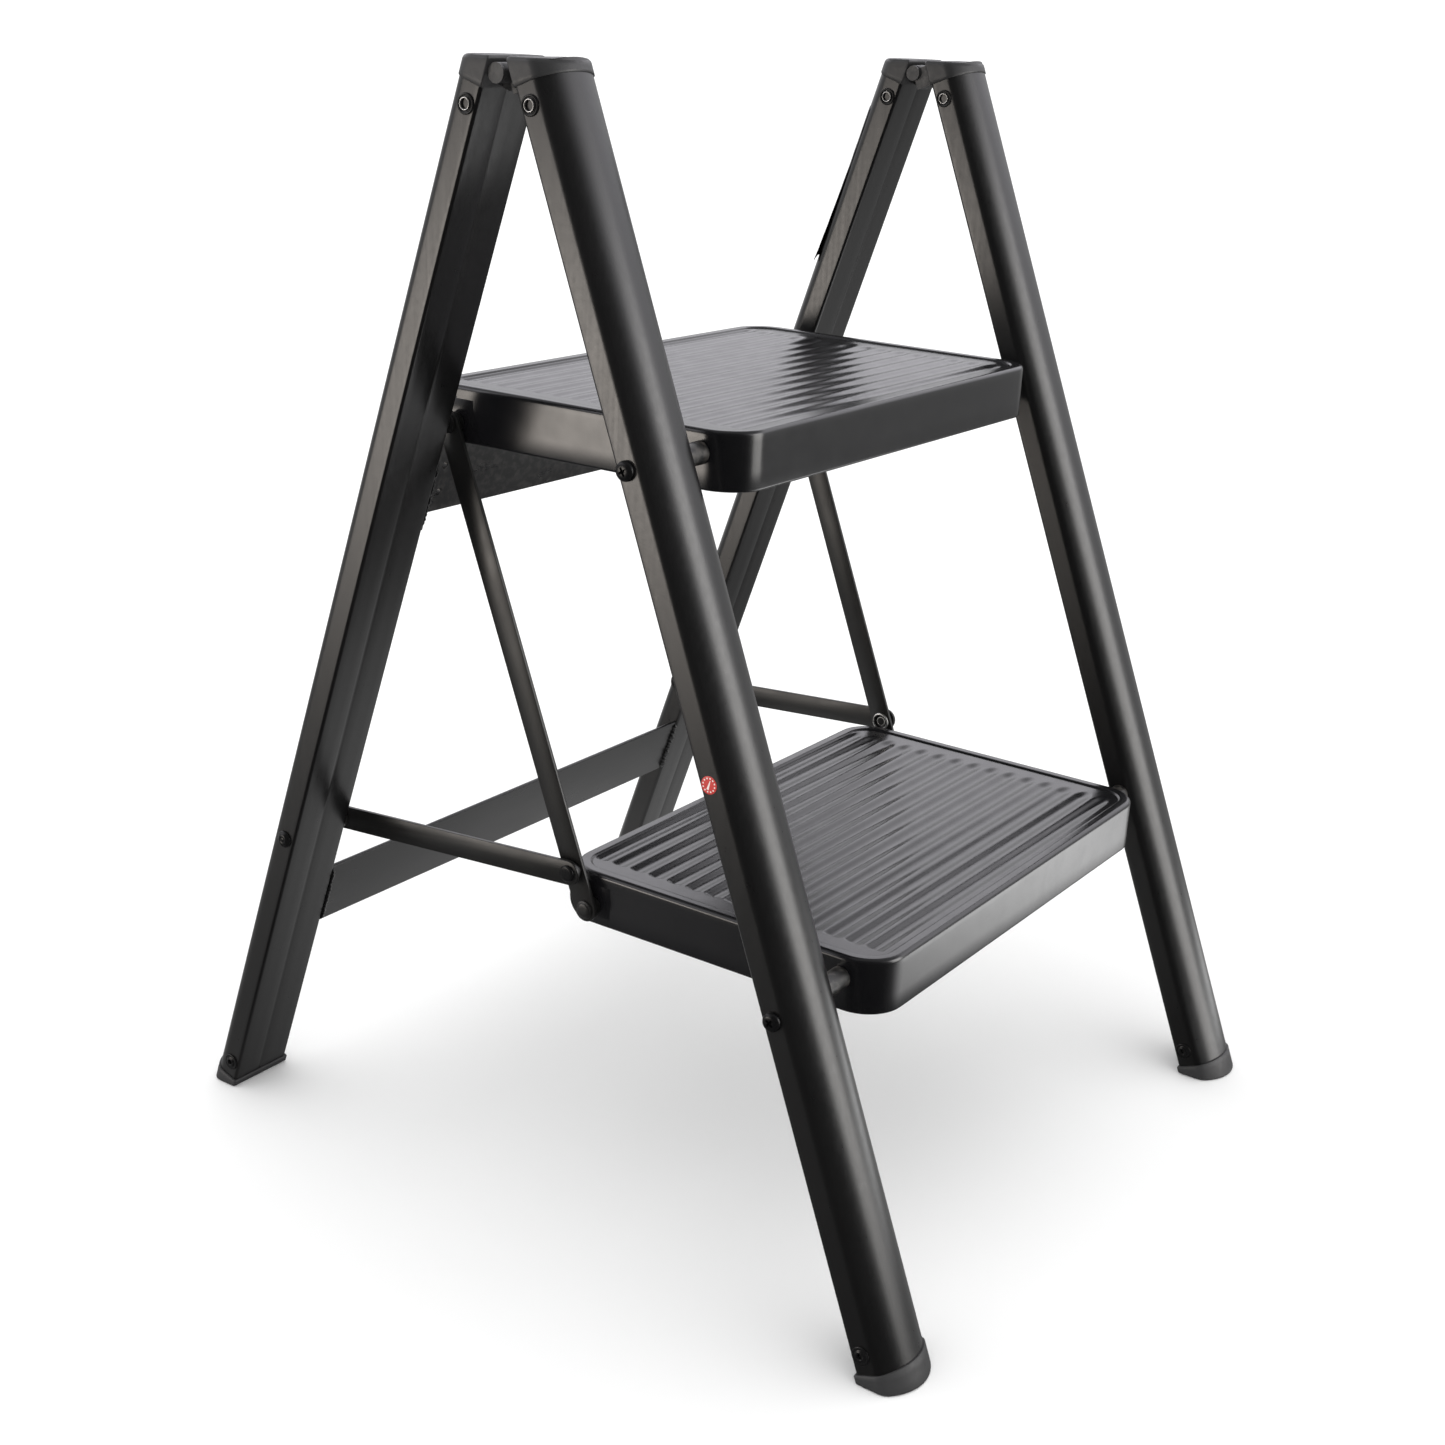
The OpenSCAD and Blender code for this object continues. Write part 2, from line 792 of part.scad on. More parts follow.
front_leg_left();
front_leg_right();
front_cap_left();
front_cap_right();
front_foot_left();
front_foot_right();
hinge_pins();
front_cap_rivets();
front_foot_rivets();
upper_pivot_screws();
lower_pivot_screws();
upper_pivot_tubes();
lower_pivot_tubes();
upper_pivot_nuts();
lower_pivot_nuts();
inspection_sticker();
rear_leg_left();
rear_leg_right();
rear_cap_left();
rear_cap_right();
rear_foot_left();
rear_foot_right();
rear_cap_rivets();
rear_foot_rivets();
upper_crossbar();
lower_crossbar();
crossbar_welds();
leg_link_rivets();
leg_link_washers();
blank_label();
upper_step();
upper_step_bushes();
upper_link_rivets();
lower_step();
lower_step_bushes();
lower_link_rivets();
upright_link_left();
upright_link_right();
joint_rivet_left();
joint_rivet_right();
cross_link_left();
cross_link_right();
cross_rivet_left();
cross_rivet_right();
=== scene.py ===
import json
import math

import bmesh
import bpy
from mathutils import Matrix, Vector, noise


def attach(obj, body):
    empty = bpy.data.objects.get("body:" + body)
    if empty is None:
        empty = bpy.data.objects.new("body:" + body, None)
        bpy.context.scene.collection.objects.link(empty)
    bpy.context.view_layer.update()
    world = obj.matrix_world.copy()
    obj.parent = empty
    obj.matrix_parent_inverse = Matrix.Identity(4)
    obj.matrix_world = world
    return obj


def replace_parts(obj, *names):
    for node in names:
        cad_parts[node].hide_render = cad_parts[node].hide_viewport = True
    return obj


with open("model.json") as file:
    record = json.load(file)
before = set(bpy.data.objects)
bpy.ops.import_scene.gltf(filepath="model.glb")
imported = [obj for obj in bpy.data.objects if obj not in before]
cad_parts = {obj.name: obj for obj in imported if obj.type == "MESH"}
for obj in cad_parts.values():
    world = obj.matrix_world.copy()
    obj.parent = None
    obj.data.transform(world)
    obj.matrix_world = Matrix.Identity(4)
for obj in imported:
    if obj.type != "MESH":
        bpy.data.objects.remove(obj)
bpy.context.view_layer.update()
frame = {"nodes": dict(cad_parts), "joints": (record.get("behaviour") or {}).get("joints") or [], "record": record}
MM = 0.001

# ---------------------------------------------------------------- sizes shared with the CAD source
JOINTS = {j["name"]: Vector(j["pos_m"]) for j in frame["joints"]}
HINGE = JOINTS["rear_frame_fold"]
UPPER_PIVOT, LOWER_PIVOT = JOINTS["upper_step_fold"], JOINTS["lower_step_fold"]
FRONT_LEAN, REAR_LEAN, SPLAY = math.radians(21.3), math.radians(18.5), math.radians(0.57)
FRONT_GAP, REAR_GAP = 11.7 * MM, 6.15 * MM
HALF_W = 253.6 * MM
LEG_W, LEG_D, STRIP_W, SHOULDER = 49 * MM, 27.3 * MM, 16.3 * MM, 8 * MM
LEG_X = HALF_W - LEG_W / 2
RIVET_IN = 7.5 * MM
CAP_LIP = {"front": 12.3 * MM, "rear": 10.7 * MM}
CAP_RIVET = {"front": 24.5 * MM, "rear": 22.9 * MM}
CAP_TOP = 726.4 * MM
LUG_R = 5.7 * MM
STEP_W, STEP_D, SKIRT_H, SHEET, CORNER_R = 371.6 * MM, 243 * MM, 36 * MM, 1.6 * MM, 26 * MM
LINK_DY, LINK_DZ = 189.2 * MM, -9.3 * MM
LINK_W, LINK_T = 16.6 * MM, 2.5 * MM
SKIRT_X, UPRIGHT_X = STEP_W / 2, 192 * MM
CROSS_X = UPRIGHT_X + LINK_T + 3.5 * MM
LEG_IN_X = HALF_W - LEG_W
BAR_H, LOWER_BAR_DOWN, UPPER_BAR_DOWN = 48.5 * MM, 575.9 * MM, 254.9 * MM
LEG_PIVOT_DOWN, LEG_PIVOT_IN = 537.4 * MM, 8.4 * MM


def lip(kind):
    """Distance from the hinge to the foot's lip, along the leg."""
    gap, lean = (FRONT_GAP, FRONT_LEAN) if kind == "front" else (REAR_GAP, REAR_LEAN)
    return (HINGE.z + gap * math.sin(lean) - 5.2 * MM) / math.cos(lean)


# ---------------------------------------------------------------- camera
CAMERA_AT = (-1.133, -0.7463, 0.7553)
CAMERA_TURN = (55.74, -19.42, 2.53)
LENS_MM, SENSOR_MM = 50.38, 36


def place_camera():
    """Camera on the front left, just above the ladder's top; CAMERA_TURN is yaw, pitch, roll."""
    yaw, pitch, roll = (math.radians(a) for a in CAMERA_TURN)
    look = Vector((math.sin(yaw) * math.cos(pitch), math.cos(yaw) * math.cos(pitch), math.sin(pitch)))
    right = Vector((math.cos(yaw), -math.sin(yaw), 0))
    up = right.cross(look)
    side = right * math.cos(roll) + up * math.sin(roll)
    top = up * math.cos(roll) - right * math.sin(roll)
    data = bpy.data.cameras.new("camera")
    data.lens = LENS_MM
    data.sensor_width = SENSOR_MM
    data.clip_start = 0.05
    data.clip_end = 60
    cam = bpy.data.objects.new("camera", data)
    basis = Matrix((side, top, -look)).transposed().to_4x4()
    cam.matrix_world = Matrix.Translation(CAMERA_AT) @ basis
    bpy.context.scene.collection.objects.link(cam)
    bpy.context.scene.camera = cam


place_camera()


# ---------------------------------------------------------------- material helpers
def new_material(name):
    """Node material, its tree and its Principled shader."""
    mat = bpy.data.materials.new(name)
    mat.use_nodes = True
    tree = mat.node_tree
    return mat, tree, tree.nodes["Principled BSDF"]


def mapped(tree, scale):
    """Object coordinates stretched by scale."""
    tc = tree.nodes.new("ShaderNodeTexCoord")
    m = tree.nodes.new("ShaderNodeMapping")
    m.inputs["Scale"].default_value = scale
    tree.links.new(tc.outputs["Object"], m.inputs["Vector"])
    return m.outputs["Vector"]


def noise_of(tree, vector, scale, detail=3.0, rough=0.55):
    n = tree.nodes.new("ShaderNodeTexNoise")
    n.inputs["Scale"].default_value = scale
    n.inputs["Detail"].default_value = detail
    n.inputs["Roughness"].default_value = rough
    tree.links.new(vector, n.inputs["Vector"])
    return n.outputs["Fac"]


def ramp(tree, fac, stops):
    """Colour over fac, from (position, colour) stops."""
    r = tree.nodes.new("ShaderNodeValToRGB")
    els = r.color_ramp.elements
    while len(els) < len(stops):
        els.new(0.5)
    for el, (at, colour) in zip(els, stops):
        el.position = at
        el.color = (*colour, 1)
    tree.links.new(fac, r.inputs["Fac"])
    return r.outputs["Color"]


def spread(tree, fac, low, high):
    """Stretches the middle of a noise's range to low and high."""
    m = tree.nodes.new("ShaderNodeMapRange")
    m.inputs["From Min"].default_value = 0.3
    m.inputs["From Max"].default_value = 0.7
    m.inputs["To Min"].default_value = low
    m.inputs["To Max"].default_value = high
    tree.links.new(fac, m.inputs["Value"])
    return m.outputs["Result"]


def calc(tree, kind, a, b=None):
    """Math node on sockets or numbers."""
    n = tree.nodes.new("ShaderNodeMath")
    n.operation = kind
    for i, v in enumerate((a, b)):
        if v is None:
            continue
        if isinstance(v, (int, float)):
            n.inputs[i].default_value = v
        else:
            tree.links.new(v, n.inputs[i])
    return n.outputs[0]


def blend_colour(tree, mask, a, b):
    """Colour a where mask is 0 and b where it is 1; each is a socket or an RGB tuple."""
    mix = tree.nodes.new("ShaderNodeMix")
    mix.data_type = "RGBA"
    for socket, v in ((mix.inputs["Factor"], mask), (mix.inputs[6], a), (mix.inputs[7], b)):
        if isinstance(v, tuple):
            socket.default_value = (*v, 1)
        else:
            tree.links.new(v, socket)
    return mix.outputs[2]


def add_bump(tree, bsdf, height, strength, distance):
    b = tree.nodes.new("ShaderNodeBump")
    b.inputs["Strength"].default_value = strength
    b.inputs["Distance"].default_value = distance
    tree.links.new(height, b.inputs["Height"])
    tree.links.new(b.outputs["Normal"], bsdf.inputs["Normal"])


def finish_of(name, dark, light, rough, grain=900, stretch=(1, 1, 1), bump_mm=0.02, metallic=0.0,
              worn=None, spec=0.5, patch_scale=34):
    """Painted, anodised or moulded surface: colour drift, uneven gloss, worn edges and a fine grain."""
    mat, tree, bsdf = new_material(name)
    wide = mapped(tree, (1, 1, 1))
    fine = mapped(tree, stretch)
    colour = ramp(tree, noise_of(tree, wide, 9, 4), [(0.35, dark), (0.65, light)])
    if worn:
        geo = tree.nodes.new("ShaderNodeNewGeometry")
        edge = ramp(tree, geo.outputs["Pointiness"], [(0.55, (0, 0, 0)), (0.66, (1, 1, 1))])
        speck = ramp(tree, noise_of(tree, wide, 220, 3), [(0.45, (0, 0, 0)), (0.62, (1, 1, 1))])
        colour = blend_colour(tree, calc(tree, "MULTIPLY", edge, speck), colour, worn)
    tree.links.new(colour, bsdf.inputs["Base Color"])
    tree.links.new(spread(tree, noise_of(tree, fine, patch_scale, 5, 0.6), *rough), bsdf.inputs["Roughness"])
    bsdf.inputs["Metallic"].default_value = metallic
    bsdf.inputs["Specular IOR Level"].default_value = spec
    add_bump(tree, bsdf, noise_of(tree, fine, grain, 2), 0.35, bump_mm * MM)
    return mat


def leg_material():
    """Satin black profile: long drawing lines, a fine mottled grain and soft handling marks."""
    mat, tree, bsdf = new_material("satin_black_leg")
    wide = mapped(tree, (1, 1, 1))
    long_lines = mapped(tree, (420, 420, 2.0))
    colour = ramp(tree, noise_of(tree, wide, 7, 4),
                  [(0.35, (0.0042, 0.0041, 0.0043)), (0.65, (0.0062, 0.0059, 0.0060))])
    geo = tree.nodes.new("ShaderNodeNewGeometry")
    edge = ramp(tree, geo.outputs["Pointiness"], [(0.56, (0, 0, 0)), (0.66, (1, 1, 1))])
    colour = blend_colour(tree, calc(tree, "MULTIPLY", edge, 0.35), colour, (0.03, 0.028, 0.026))
    tree.links.new(colour, bsdf.inputs["Base Color"])
    lines = noise_of(tree, long_lines, 1.0, 2, 0.5)
    mottle = noise_of(tree, wide, 260, 3, 0.6)
    both = calc(tree, "ADD", calc(tree, "MULTIPLY", lines, 0.5), calc(tree, "MULTIPLY", mottle, 0.5))
    tree.links.new(spread(tree, both, 0.27, 0.35), bsdf.inputs["Roughness"])
    bsdf.inputs["Specular IOR Level"].default_value = 0.55
    height = calc(tree, "ADD", calc(tree, "MULTIPLY", lines, 0.25), noise_of(tree, wide, 900, 2))
    add_bump(tree, bsdf, height, 0.22, 0.03 * MM)
    return mat


def step_material():
    """Gloss black coat: slight orange peel and dust-fine specks."""
    mat, tree, bsdf = new_material("gloss_black_step")
    wide = mapped(tree, (1, 1, 1))
    colour = ramp(tree, noise_of(tree, wide, 12, 3),
                  [(0.35, (0.0048, 0.0048, 0.0056)), (0.65, (0.0068, 0.0066, 0.0076))])
    tree.links.new(colour, bsdf.inputs["Base Color"])
    tree.links.new(spread(tree, noise_of(tree, wide, 60, 4, 0.6), 0.21, 0.27), bsdf.inputs["Roughness"])
    bsdf.inputs["Specular IOR Level"].default_value = 0.55
    peel = calc(tree, "ADD", noise_of(tree, wide, 330, 2),
                calc(tree, "MULTIPLY", noise_of(tree, wide, 45, 2), 2.2))
    add_bump(tree, bsdf, peel, 0.06, 0.04 * MM)
    return mat


DOTS = 12.0


def sticker_material():
    """Round red sticker: pale ring of dots and a plain slanted pointer."""
    mat, tree, bsdf = new_material("sticker_red")
    tc = tree.nodes.new("ShaderNodeTexCoord")
    sep = tree.nodes.new("ShaderNodeSeparateXYZ")
    tree.links.new(tc.outputs["UV"], sep.inputs[0])
    u = calc(tree, "SUBTRACT", sep.outputs["X"], 0.5)
    v = calc(tree, "SUBTRACT", sep.outputs["Y"], 0.5)
    squares = calc(tree, "ADD", calc(tree, "MULTIPLY", u, u), calc(tree, "MULTIPLY", v, v))
    radius = calc(tree, "SQRT", squares)
    wave = calc(tree, "COSINE", calc(tree, "MULTIPLY", calc(tree, "ARCTAN2", v, u), DOTS))
    ring = calc(tree, "MULTIPLY", calc(tree, "GREATER_THAN", radius, 0.335),
                calc(tree, "LESS_THAN", radius, 0.415))
    dots = calc(tree, "MULTIPLY", calc(tree, "GREATER_THAN", wave, 0.25), ring)
    along = calc(tree, "ADD", calc(tree, "MULTIPLY", u, 0.60), calc(tree, "MULTIPLY", v, 0.80))
    across = calc(tree, "SUBTRACT", calc(tree, "MULTIPLY", u, 0.80), calc(tree, "MULTIPLY", v, 0.60))
    taper = calc(tree, "MULTIPLY", calc(tree, "ADD", along, 0.28), 0.10)
    slim = calc(tree, "LESS_THAN", calc(tree, "ABSOLUTE", across), calc(tree, "SUBTRACT", 0.075, taper))
    pointer = calc(tree, "MULTIPLY", slim, calc(tree, "LESS_THAN", calc(tree, "ABSOLUTE", along), 0.27))
    mask = calc(tree, "MAXIMUM", dots, pointer)
    wide = mapped(tree, (1, 1, 1))
    red = ramp(tree, noise_of(tree, wide, 300, 3),
               [(0.3, (0.42, 0.022, 0.018)), (0.7, (0.52, 0.034, 0.026))])
    tree.links.new(blend_colour(tree, mask, red, (0.72, 0.62, 0.58)), bsdf.inputs["Base Color"])
    tree.links.new(spread(tree, noise_of(tree, wide, 200, 3), 0.34, 0.46), bsdf.inputs["Roughness"])
    add_bump(tree, bsdf, noise_of(tree, wide, 700, 2), 0.3, 0.01 * MM)
    return mat


MATS = {
    "leg_finish": leg_material(),
    "cap_plastic": finish_of("cap_plastic", (0.016, 0.016, 0.0165), (0.024, 0.0235, 0.024),
                             (0.40, 0.52), 1500, bump_mm=0.09, worn=(0.05, 0.048, 0.046),
                             patch_scale=300),
    "foot_rubber": finish_of("foot_rubber", (0.026, 0.026, 0.027), (0.038, 0.0375, 0.039),
                             (0.48, 0.62), 1300, bump_mm=0.08, spec=0.45, worn=(0.045, 0.043, 0.041),
                             patch_scale=200),
    "step_gloss": step_material(),
    "bar_finish": finish_of("bar_finish", (0.0055, 0.0055, 0.006), (0.0085, 0.0083, 0.0088),
                            (0.26, 0.34), 700, (0.3, 1, 1), 0.012, worn=(0.05, 0.047, 0.044)),
    "link_finish": finish_of("link_finish", (0.006, 0.006, 0.0058), (0.011, 0.0104, 0.0098),
                             (0.32, 0.44), 800, bump_mm=0.04, worn=(0.06, 0.055, 0.05)),
    "black_fastener": finish_of("black_fastener", (0.004, 0.004, 0.0042), (0.008, 0.0078, 0.008),
                                (0.18, 0.28), 600, bump_mm=0.02, spec=0.2, worn=(0.06, 0.057, 0.054)),
    "zinc_steel": finish_of("zinc_steel", (0.52, 0.52, 0.51), (0.68, 0.67, 0.65), (0.22, 0.36), 500,
                            bump_mm=0.02, metallic=1.0),
    "sticker_red": sticker_material(),
    "label_film": finish_of("label_film", (0.010, 0.010, 0.0105), (0.017, 0.0165, 0.017),
                            (0.32, 0.46), 500, bump_mm=0.03),
}

# CAD nodes that no piece replaces (tubes, nuts, bushes, washers, hinge pins, upper crossbar) stay visible
SLOT = {s["node"]: s["material_slot"] for s in frame["record"]["subparts"]}
for node_name, cad in frame["nodes"].items():
    if not cad.data.materials:
        cad.data.materials.append(MATS[SLOT[node_name]])
    for place in cad.material_slots:
        place.link = "OBJECT"
        place.material = MATS[SLOT[node_name]]

BODY_OF = {n: b for b, ns in frame["record"]["behaviour"]["bodies"].items() for n in ns}


# ---------------------------------------------------------------- mesh helpers
MERGE = 1e-6


def linked(name, bm):
    """Object made of the bmesh, in the scene."""
    mesh = bpy.data.meshes.new(name)
    bm.to_mesh(mesh)
    bm.free()
    obj = bpy.data.objects.new(name, mesh)
    bpy.context.scene.collection.objects.link(obj)
    return obj


def tidy_shell(bm):
    """Joins the seams and turns the normals outwards."""
    bmesh.ops.remove_doubles(bm, verts=bm.verts[:], dist=MERGE)
    bmesh.ops.recalc_face_normals(bm, faces=bm.faces[:])


def piece(name, bm, stands_for, slot=None, sharp=38):
    """Closed piece with its edges over sharp degrees kept crisp."""
    tidy_shell(bm)
    for e in bm.edges:
        if len(e.link_faces) == 2 and e.calc_face_angle(0) > math.radians(sharp):
            e.smooth = False
    return smooth_piece(name, bm, stands_for, slot)


def smooth_piece(name, bm, stands_for, slot=None):
    """Smooth-shaded piece riding on the CAD nodes' body; it replaces them unless it has its own slot."""
    for f in bm.faces:
        f.smooth = True
    obj = linked(name, bm)
    first = stands_for[0]
    obj.data.materials.append(MATS[slot or SLOT[first]])
    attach(obj, BODY_OF[first])
    if slot is None:
        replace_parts(obj, *stands_for)
    return obj


def loft(bm, rings, close_start=True, close_end=True):
    """Skins closed rings of points in order."""
    made = [[bm.verts.new(p) for p in ring] for ring in rings]
    count = len(made[0])
    for a, b in zip(made, made[1:]):
        for i in range(count):
            j = (i + 1) % count
            bm.faces.new((a[i], a[j], b[j], b[i]))
    if close_start:
        bm.faces.new(list(reversed(made[0])))
    if close_end:
        bm.faces.new(made[-1])


def spin(bm, profile, base, seg=40, close=True):
    """Revolves (radius, height) pairs about the Z axis of the matrix base."""
    rings = []
    for r, h in profile:
        r = max(r, 1e-7)
        rings.append([base @ Vector((r * math.cos(a), r * math.sin(a), h))
                      for a in (2 * math.pi * i / seg for i in range(seg))])
    loft(bm, rings, close, close)


def along(point, axis):
    """Matrix with its origin at point and its Z axis along axis."""
    return Matrix.Translation(point) @ Vector(axis).to_track_quat("Z", "Y").to_matrix().to_4x4()


def soft_rod(bm, point, axis, length, radius, edge):
    """Rod with rounded rims."""
    steps = [(radius - edge + edge * math.sin(t), edge - edge * math.cos(t))
             for t in (k * math.pi / 8 for k in range(5))]
    ends = [(0, 0)] + steps + [(r, length - h) for r, h in reversed(steps)] + [(0, length)]
    spin(bm, ends, along(point, axis))


def mirror_x(side, p):
    """CAD pieces are drawn on the left (-X); side -1 gives the left, 1 the right."""
    return Vector((p[0] if side < 0 else -p[0], p[1], p[2]))


def outwards(side):
    return mirror_x(side, (-1, 0, 0))


def inwards(side):
    return mirror_x(side, (1, 0, 0))


def leg_frame(kind, side):
    """Maps leg coordinates (across, depth from the inner flat, distance below the hinge) to the frame."""
    def place(x, d, s):
        if kind == "front":
            out, down = math.sin(SPLAY), math.cos(SPLAY)
            p = Vector((x * down - s * out, -d, -x * out - s * down))
            p = Vector((p.x - LEG_X, p.y - FRONT_GAP, p.z))
            turn = -FRONT_LEAN
        else:
            p = Vector((x - LEG_X, d + REAR_GAP, -s))
            turn = REAR_LEAN
        q = Matrix.Rotation(turn, 3, "X") @ p + HINGE
        return mirror_x(side, (q.x, q.y, q.z))
    return place


# crown arc and side shoulders of the leg section
CROWN_S = LEG_D - STRIP_W
CROWN_R = ((LEG_W / 2) ** 2 + CROWN_S ** 2) / (2 * CROWN_S)
CROWN_Y = LEG_D - CROWN_R
SH_X = LEG_W / 2 - SHOULDER
SH_Y = CROWN_Y + math.sqrt((CROWN_R - SHOULDER) ** 2 - SH_X ** 2)
SH_TURN = math.atan2(SH_Y - CROWN_Y, SH_X)


def d_outline(g, corner, groove=0.0):
    """Leg section grown by g: right side, crown, left side, inner flat with its shallow centre groove."""
    w = LEG_W / 2 + g
    right = []
    for k in range(7):
        t = -math.pi / 2 + k * math.pi / 12
        right.append((w - corner + corner * math.cos(t), -g + corner + corner * math.sin(t)))
    for k in range(1, 5):
        right.append((w, -g + corner + (SH_Y + g - corner) * k / 5))
    for k in range(11):
        t = SH_TURN * k / 10
        right.append((SH_X + (SHOULDER + g) * math.cos(t), SH_Y + (SHOULDER + g) * math.sin(t)))
    for k in range(1, 12):
        t = SH_TURN + (math.pi / 2 - SH_TURN) * k / 12
        right.append(((CROWN_R + g) * math.cos(t), CROWN_Y + (CROWN_R + g) * math.sin(t)))
    top = [(0, LEG_D + g)]
    left = [(-x, y) for x, y in reversed(right)]
    dips = ((-16, 0), (-8, 0), (-0.8, 0), (0.4, 0.55), (1.6, 1), (2.8, 0.55), (4.0, 0), (10, 0), (17, 0))
    flat = sorted((-u * MM, -g + groove * dip) for u, dip in dips)
    return right + top + left + flat


# ---------------------------------------------------------------- legs, caps and feet
LEG_CORNER, LEG_GROOVE, LEG_START, LEG_IN_FOOT = 2.0 * MM, 0.32 * MM, 4.2 * MM, 2 * MM


def make_leg(kind, side, node):
    """Leg profile from inside its cap to inside its foot."""
    at = leg_frame(kind, side)
    outline = d_outline(0, LEG_CORNER, LEG_GROOVE)
    start, end = LEG_START, lip(kind) + LEG_IN_FOOT
    bm = bmesh.new()
    stations = [start + (end - start) * k / 16 for k in range(17)]
    loft(bm, [[at(x, d, s) for x, d in outline] for s in stations])
    return piece(node + "_profile", bm, [node])


# growth over the leg section and corner radius of the outlines of caps and feet
CAP_SKIN, CAP_EDGE = (0.8 * MM, 1.3 * MM), (0.45 * MM, 1.2 * MM)
FOOT_SKIN, FOOT_EDGE = (1.3 * MM, 1.5 * MM), (0.8 * MM, 1.3 * MM)
INSIDE = (-0.05 * MM, 0.9 * MM)
SECTION_MID = LEG_D * 0.48
CAP_ROLL, FOOT_ROLL = 2.6 * MM, 1.0 * MM
LIP_SOFT = 0.35 * MM
FLAT_REST = -0.42 * MM
LUG_INSET, LUG_GAP, WEB_SET_IN = 1.6 * MM, 0.25 * MM, 9 * MM


def about_middle(pts, fx, fy):
    """Section outline scaled about the middle of the leg section."""
    return [(x * fx, SECTION_MID + (y - SECTION_MID) * fy) for x, y in pts]


def drawn_in(pts, draw):
    """Section outline pulled in by about draw on every side."""
    return about_middle(pts, 1 - draw / (LEG_W / 2), 1 - draw / (LEG_D / 2))


def make_cap(kind, side, node):
    """Cap: skin round the leg end, level rounded top, rounded lip and the hinge lugs."""
    at = leg_frame(kind, side)
    lean = FRONT_LEAN if kind == "front" else REAR_LEAN
    lip_s = CAP_LIP[kind]
    skin, thin, inner = (d_outline(*o) for o in (CAP_SKIN, CAP_EDGE, INSIDE))

    def level(x, d, z):
        """Point of the column (x, d) at height z."""
        a, b = at(x, d, 0), at(x, d, 0.1)
        t = (z - a.z) / (b.z - a.z)
        return a.lerp(b, t)

    if kind == "rear":
        skin = [(x, max(d, FLAT_REST)) for x, d in skin]
    rings = [[at(x, d, lip_s - 0.4 * MM) for x, d in inner], [at(x, d, lip_s) for x, d in inner],
             [at(x, d, lip_s) for x, d in thin], [at(x, d, lip_s - LIP_SOFT) for x, d in skin]]
    for k in range(1, 4):
        rings.append([at(x, d, lip_s - LIP_SOFT).lerp(level(x, d, CAP_TOP - CAP_ROLL), k / 4)
                      for x, d in skin])
    for k in range(7):
        t = k / 6 * math.pi / 2
        rings.append([level(x, d, CAP_TOP - CAP_ROLL + CAP_ROLL * math.sin(t))
                      for x, d in drawn_in(skin, CAP_ROLL * (1 - math.cos(t)))])
    for f in (0.8, 0.5, 0.2):
        rings.append([level(x, d, CAP_TOP) for x, d in about_middle(drawn_in(skin, CAP_ROLL), f, f)])
    bm = bmesh.new()
    loft(bm, rings, False, True)
    lug_end, lug_in = HALF_W - LUG_INSET, HALF_W - LEG_W + LUG_INSET
    third, gap = (lug_end - lug_in) / 3, LUG_GAP
    if kind == "front":
        sign, spans = -1, [(lug_in + 2 * third + gap, lug_end - 2 * MM), (lug_in, lug_in + third - gap)]
    else:
        sign, spans = 1, [(lug_in + third + gap, lug_in + 2 * third - gap)]
    reach = (FRONT_GAP if kind == "front" else REAR_GAP) - 0.4 * MM
    turn = Matrix.Rotation(sign * lean, 3, "X")
    for near, far in spans:
        start = mirror_x(side, (-near, HINGE.y, HINGE.z))
        soft_rod(bm, start, outwards(side), far - near, LUG_R - 0.1 * MM, 0.5 * MM)
        if far > lug_end - 3 * MM:
            far -= WEB_SET_IN
        # web between the barrel and the cap wall, with a rounded free edge under the barrel
        section = []
        low = -lip_s + 0.4 * MM
        for y, z in ((-0.2, 2.0), (1.0, 2.0), (1.0, low / MM + 0.5), (0.86, low / MM + 0.12),
                     (0.6, low / MM), (0.05, low / MM), (-0.12, low / MM + 0.12), (-0.2, low / MM + 0.4)):
            section.append(Vector((0, sign * (y * reach if y > 0 else y * 3 * MM), z * MM)))
        rings = []
        for x in (near, far):
            rings.append([mirror_x(side, (-x, *(turn @ p + HINGE)[1:])) for p in section])
        loft(bm, rings)
    return piece(node + "_shell", bm, [node], sharp=50)


def make_foot(kind, side, node):
    """Foot: rounded lip round the leg and a level sole with a small rounded rim."""
    at = leg_frame(kind, side)
    s0 = lip(kind)
    skin, thin, inner = (d_outline(*o) for o in (FOOT_SKIN, FOOT_EDGE, INSIDE))

    def level(x, d, z):
        """Point of the column (x, d) at height z."""
        a, b = at(x, d, s0 - 0.05), at(x, d, s0 + 0.05)
        t = (z - a.z) / (b.z - a.z)
        return a + (b - a) * t

    rings = [[at(x, d, s0 + 0.5 * MM) for x, d in inner], [at(x, d, s0) for x, d in inner],
             [at(x, d, s0) for x, d in thin], [at(x, d, s0 + 0.5 * MM) for x, d in skin]]
    for k in range(1, 3):
        rings.append([at(x, d, s0 + 0.5 * MM).lerp(level(x, d, FOOT_ROLL), k / 3) for x, d in skin])
    for k in range(5):
        t = k / 4 * math.pi / 2
        rings.append([level(x, d, FOOT_ROLL - FOOT_ROLL * math.sin(t))
                      for x, d in drawn_in(skin, FOOT_ROLL * (1 - math.cos(t)))])
    bm = bmesh.new()
    loft(bm, rings, False, True)
    return piece(node + "_shoe", bm, [node], sharp=50)


for kind in ("front", "rear"):
    for side, tag in ((-1, "left"), (1, "right")):
        make_leg(kind, side, f"{kind}_leg_{tag}")
        make_cap(kind, side, f"{kind}_cap_{tag}")
        make_foot(kind, side, f"{kind}_foot_{tag}")


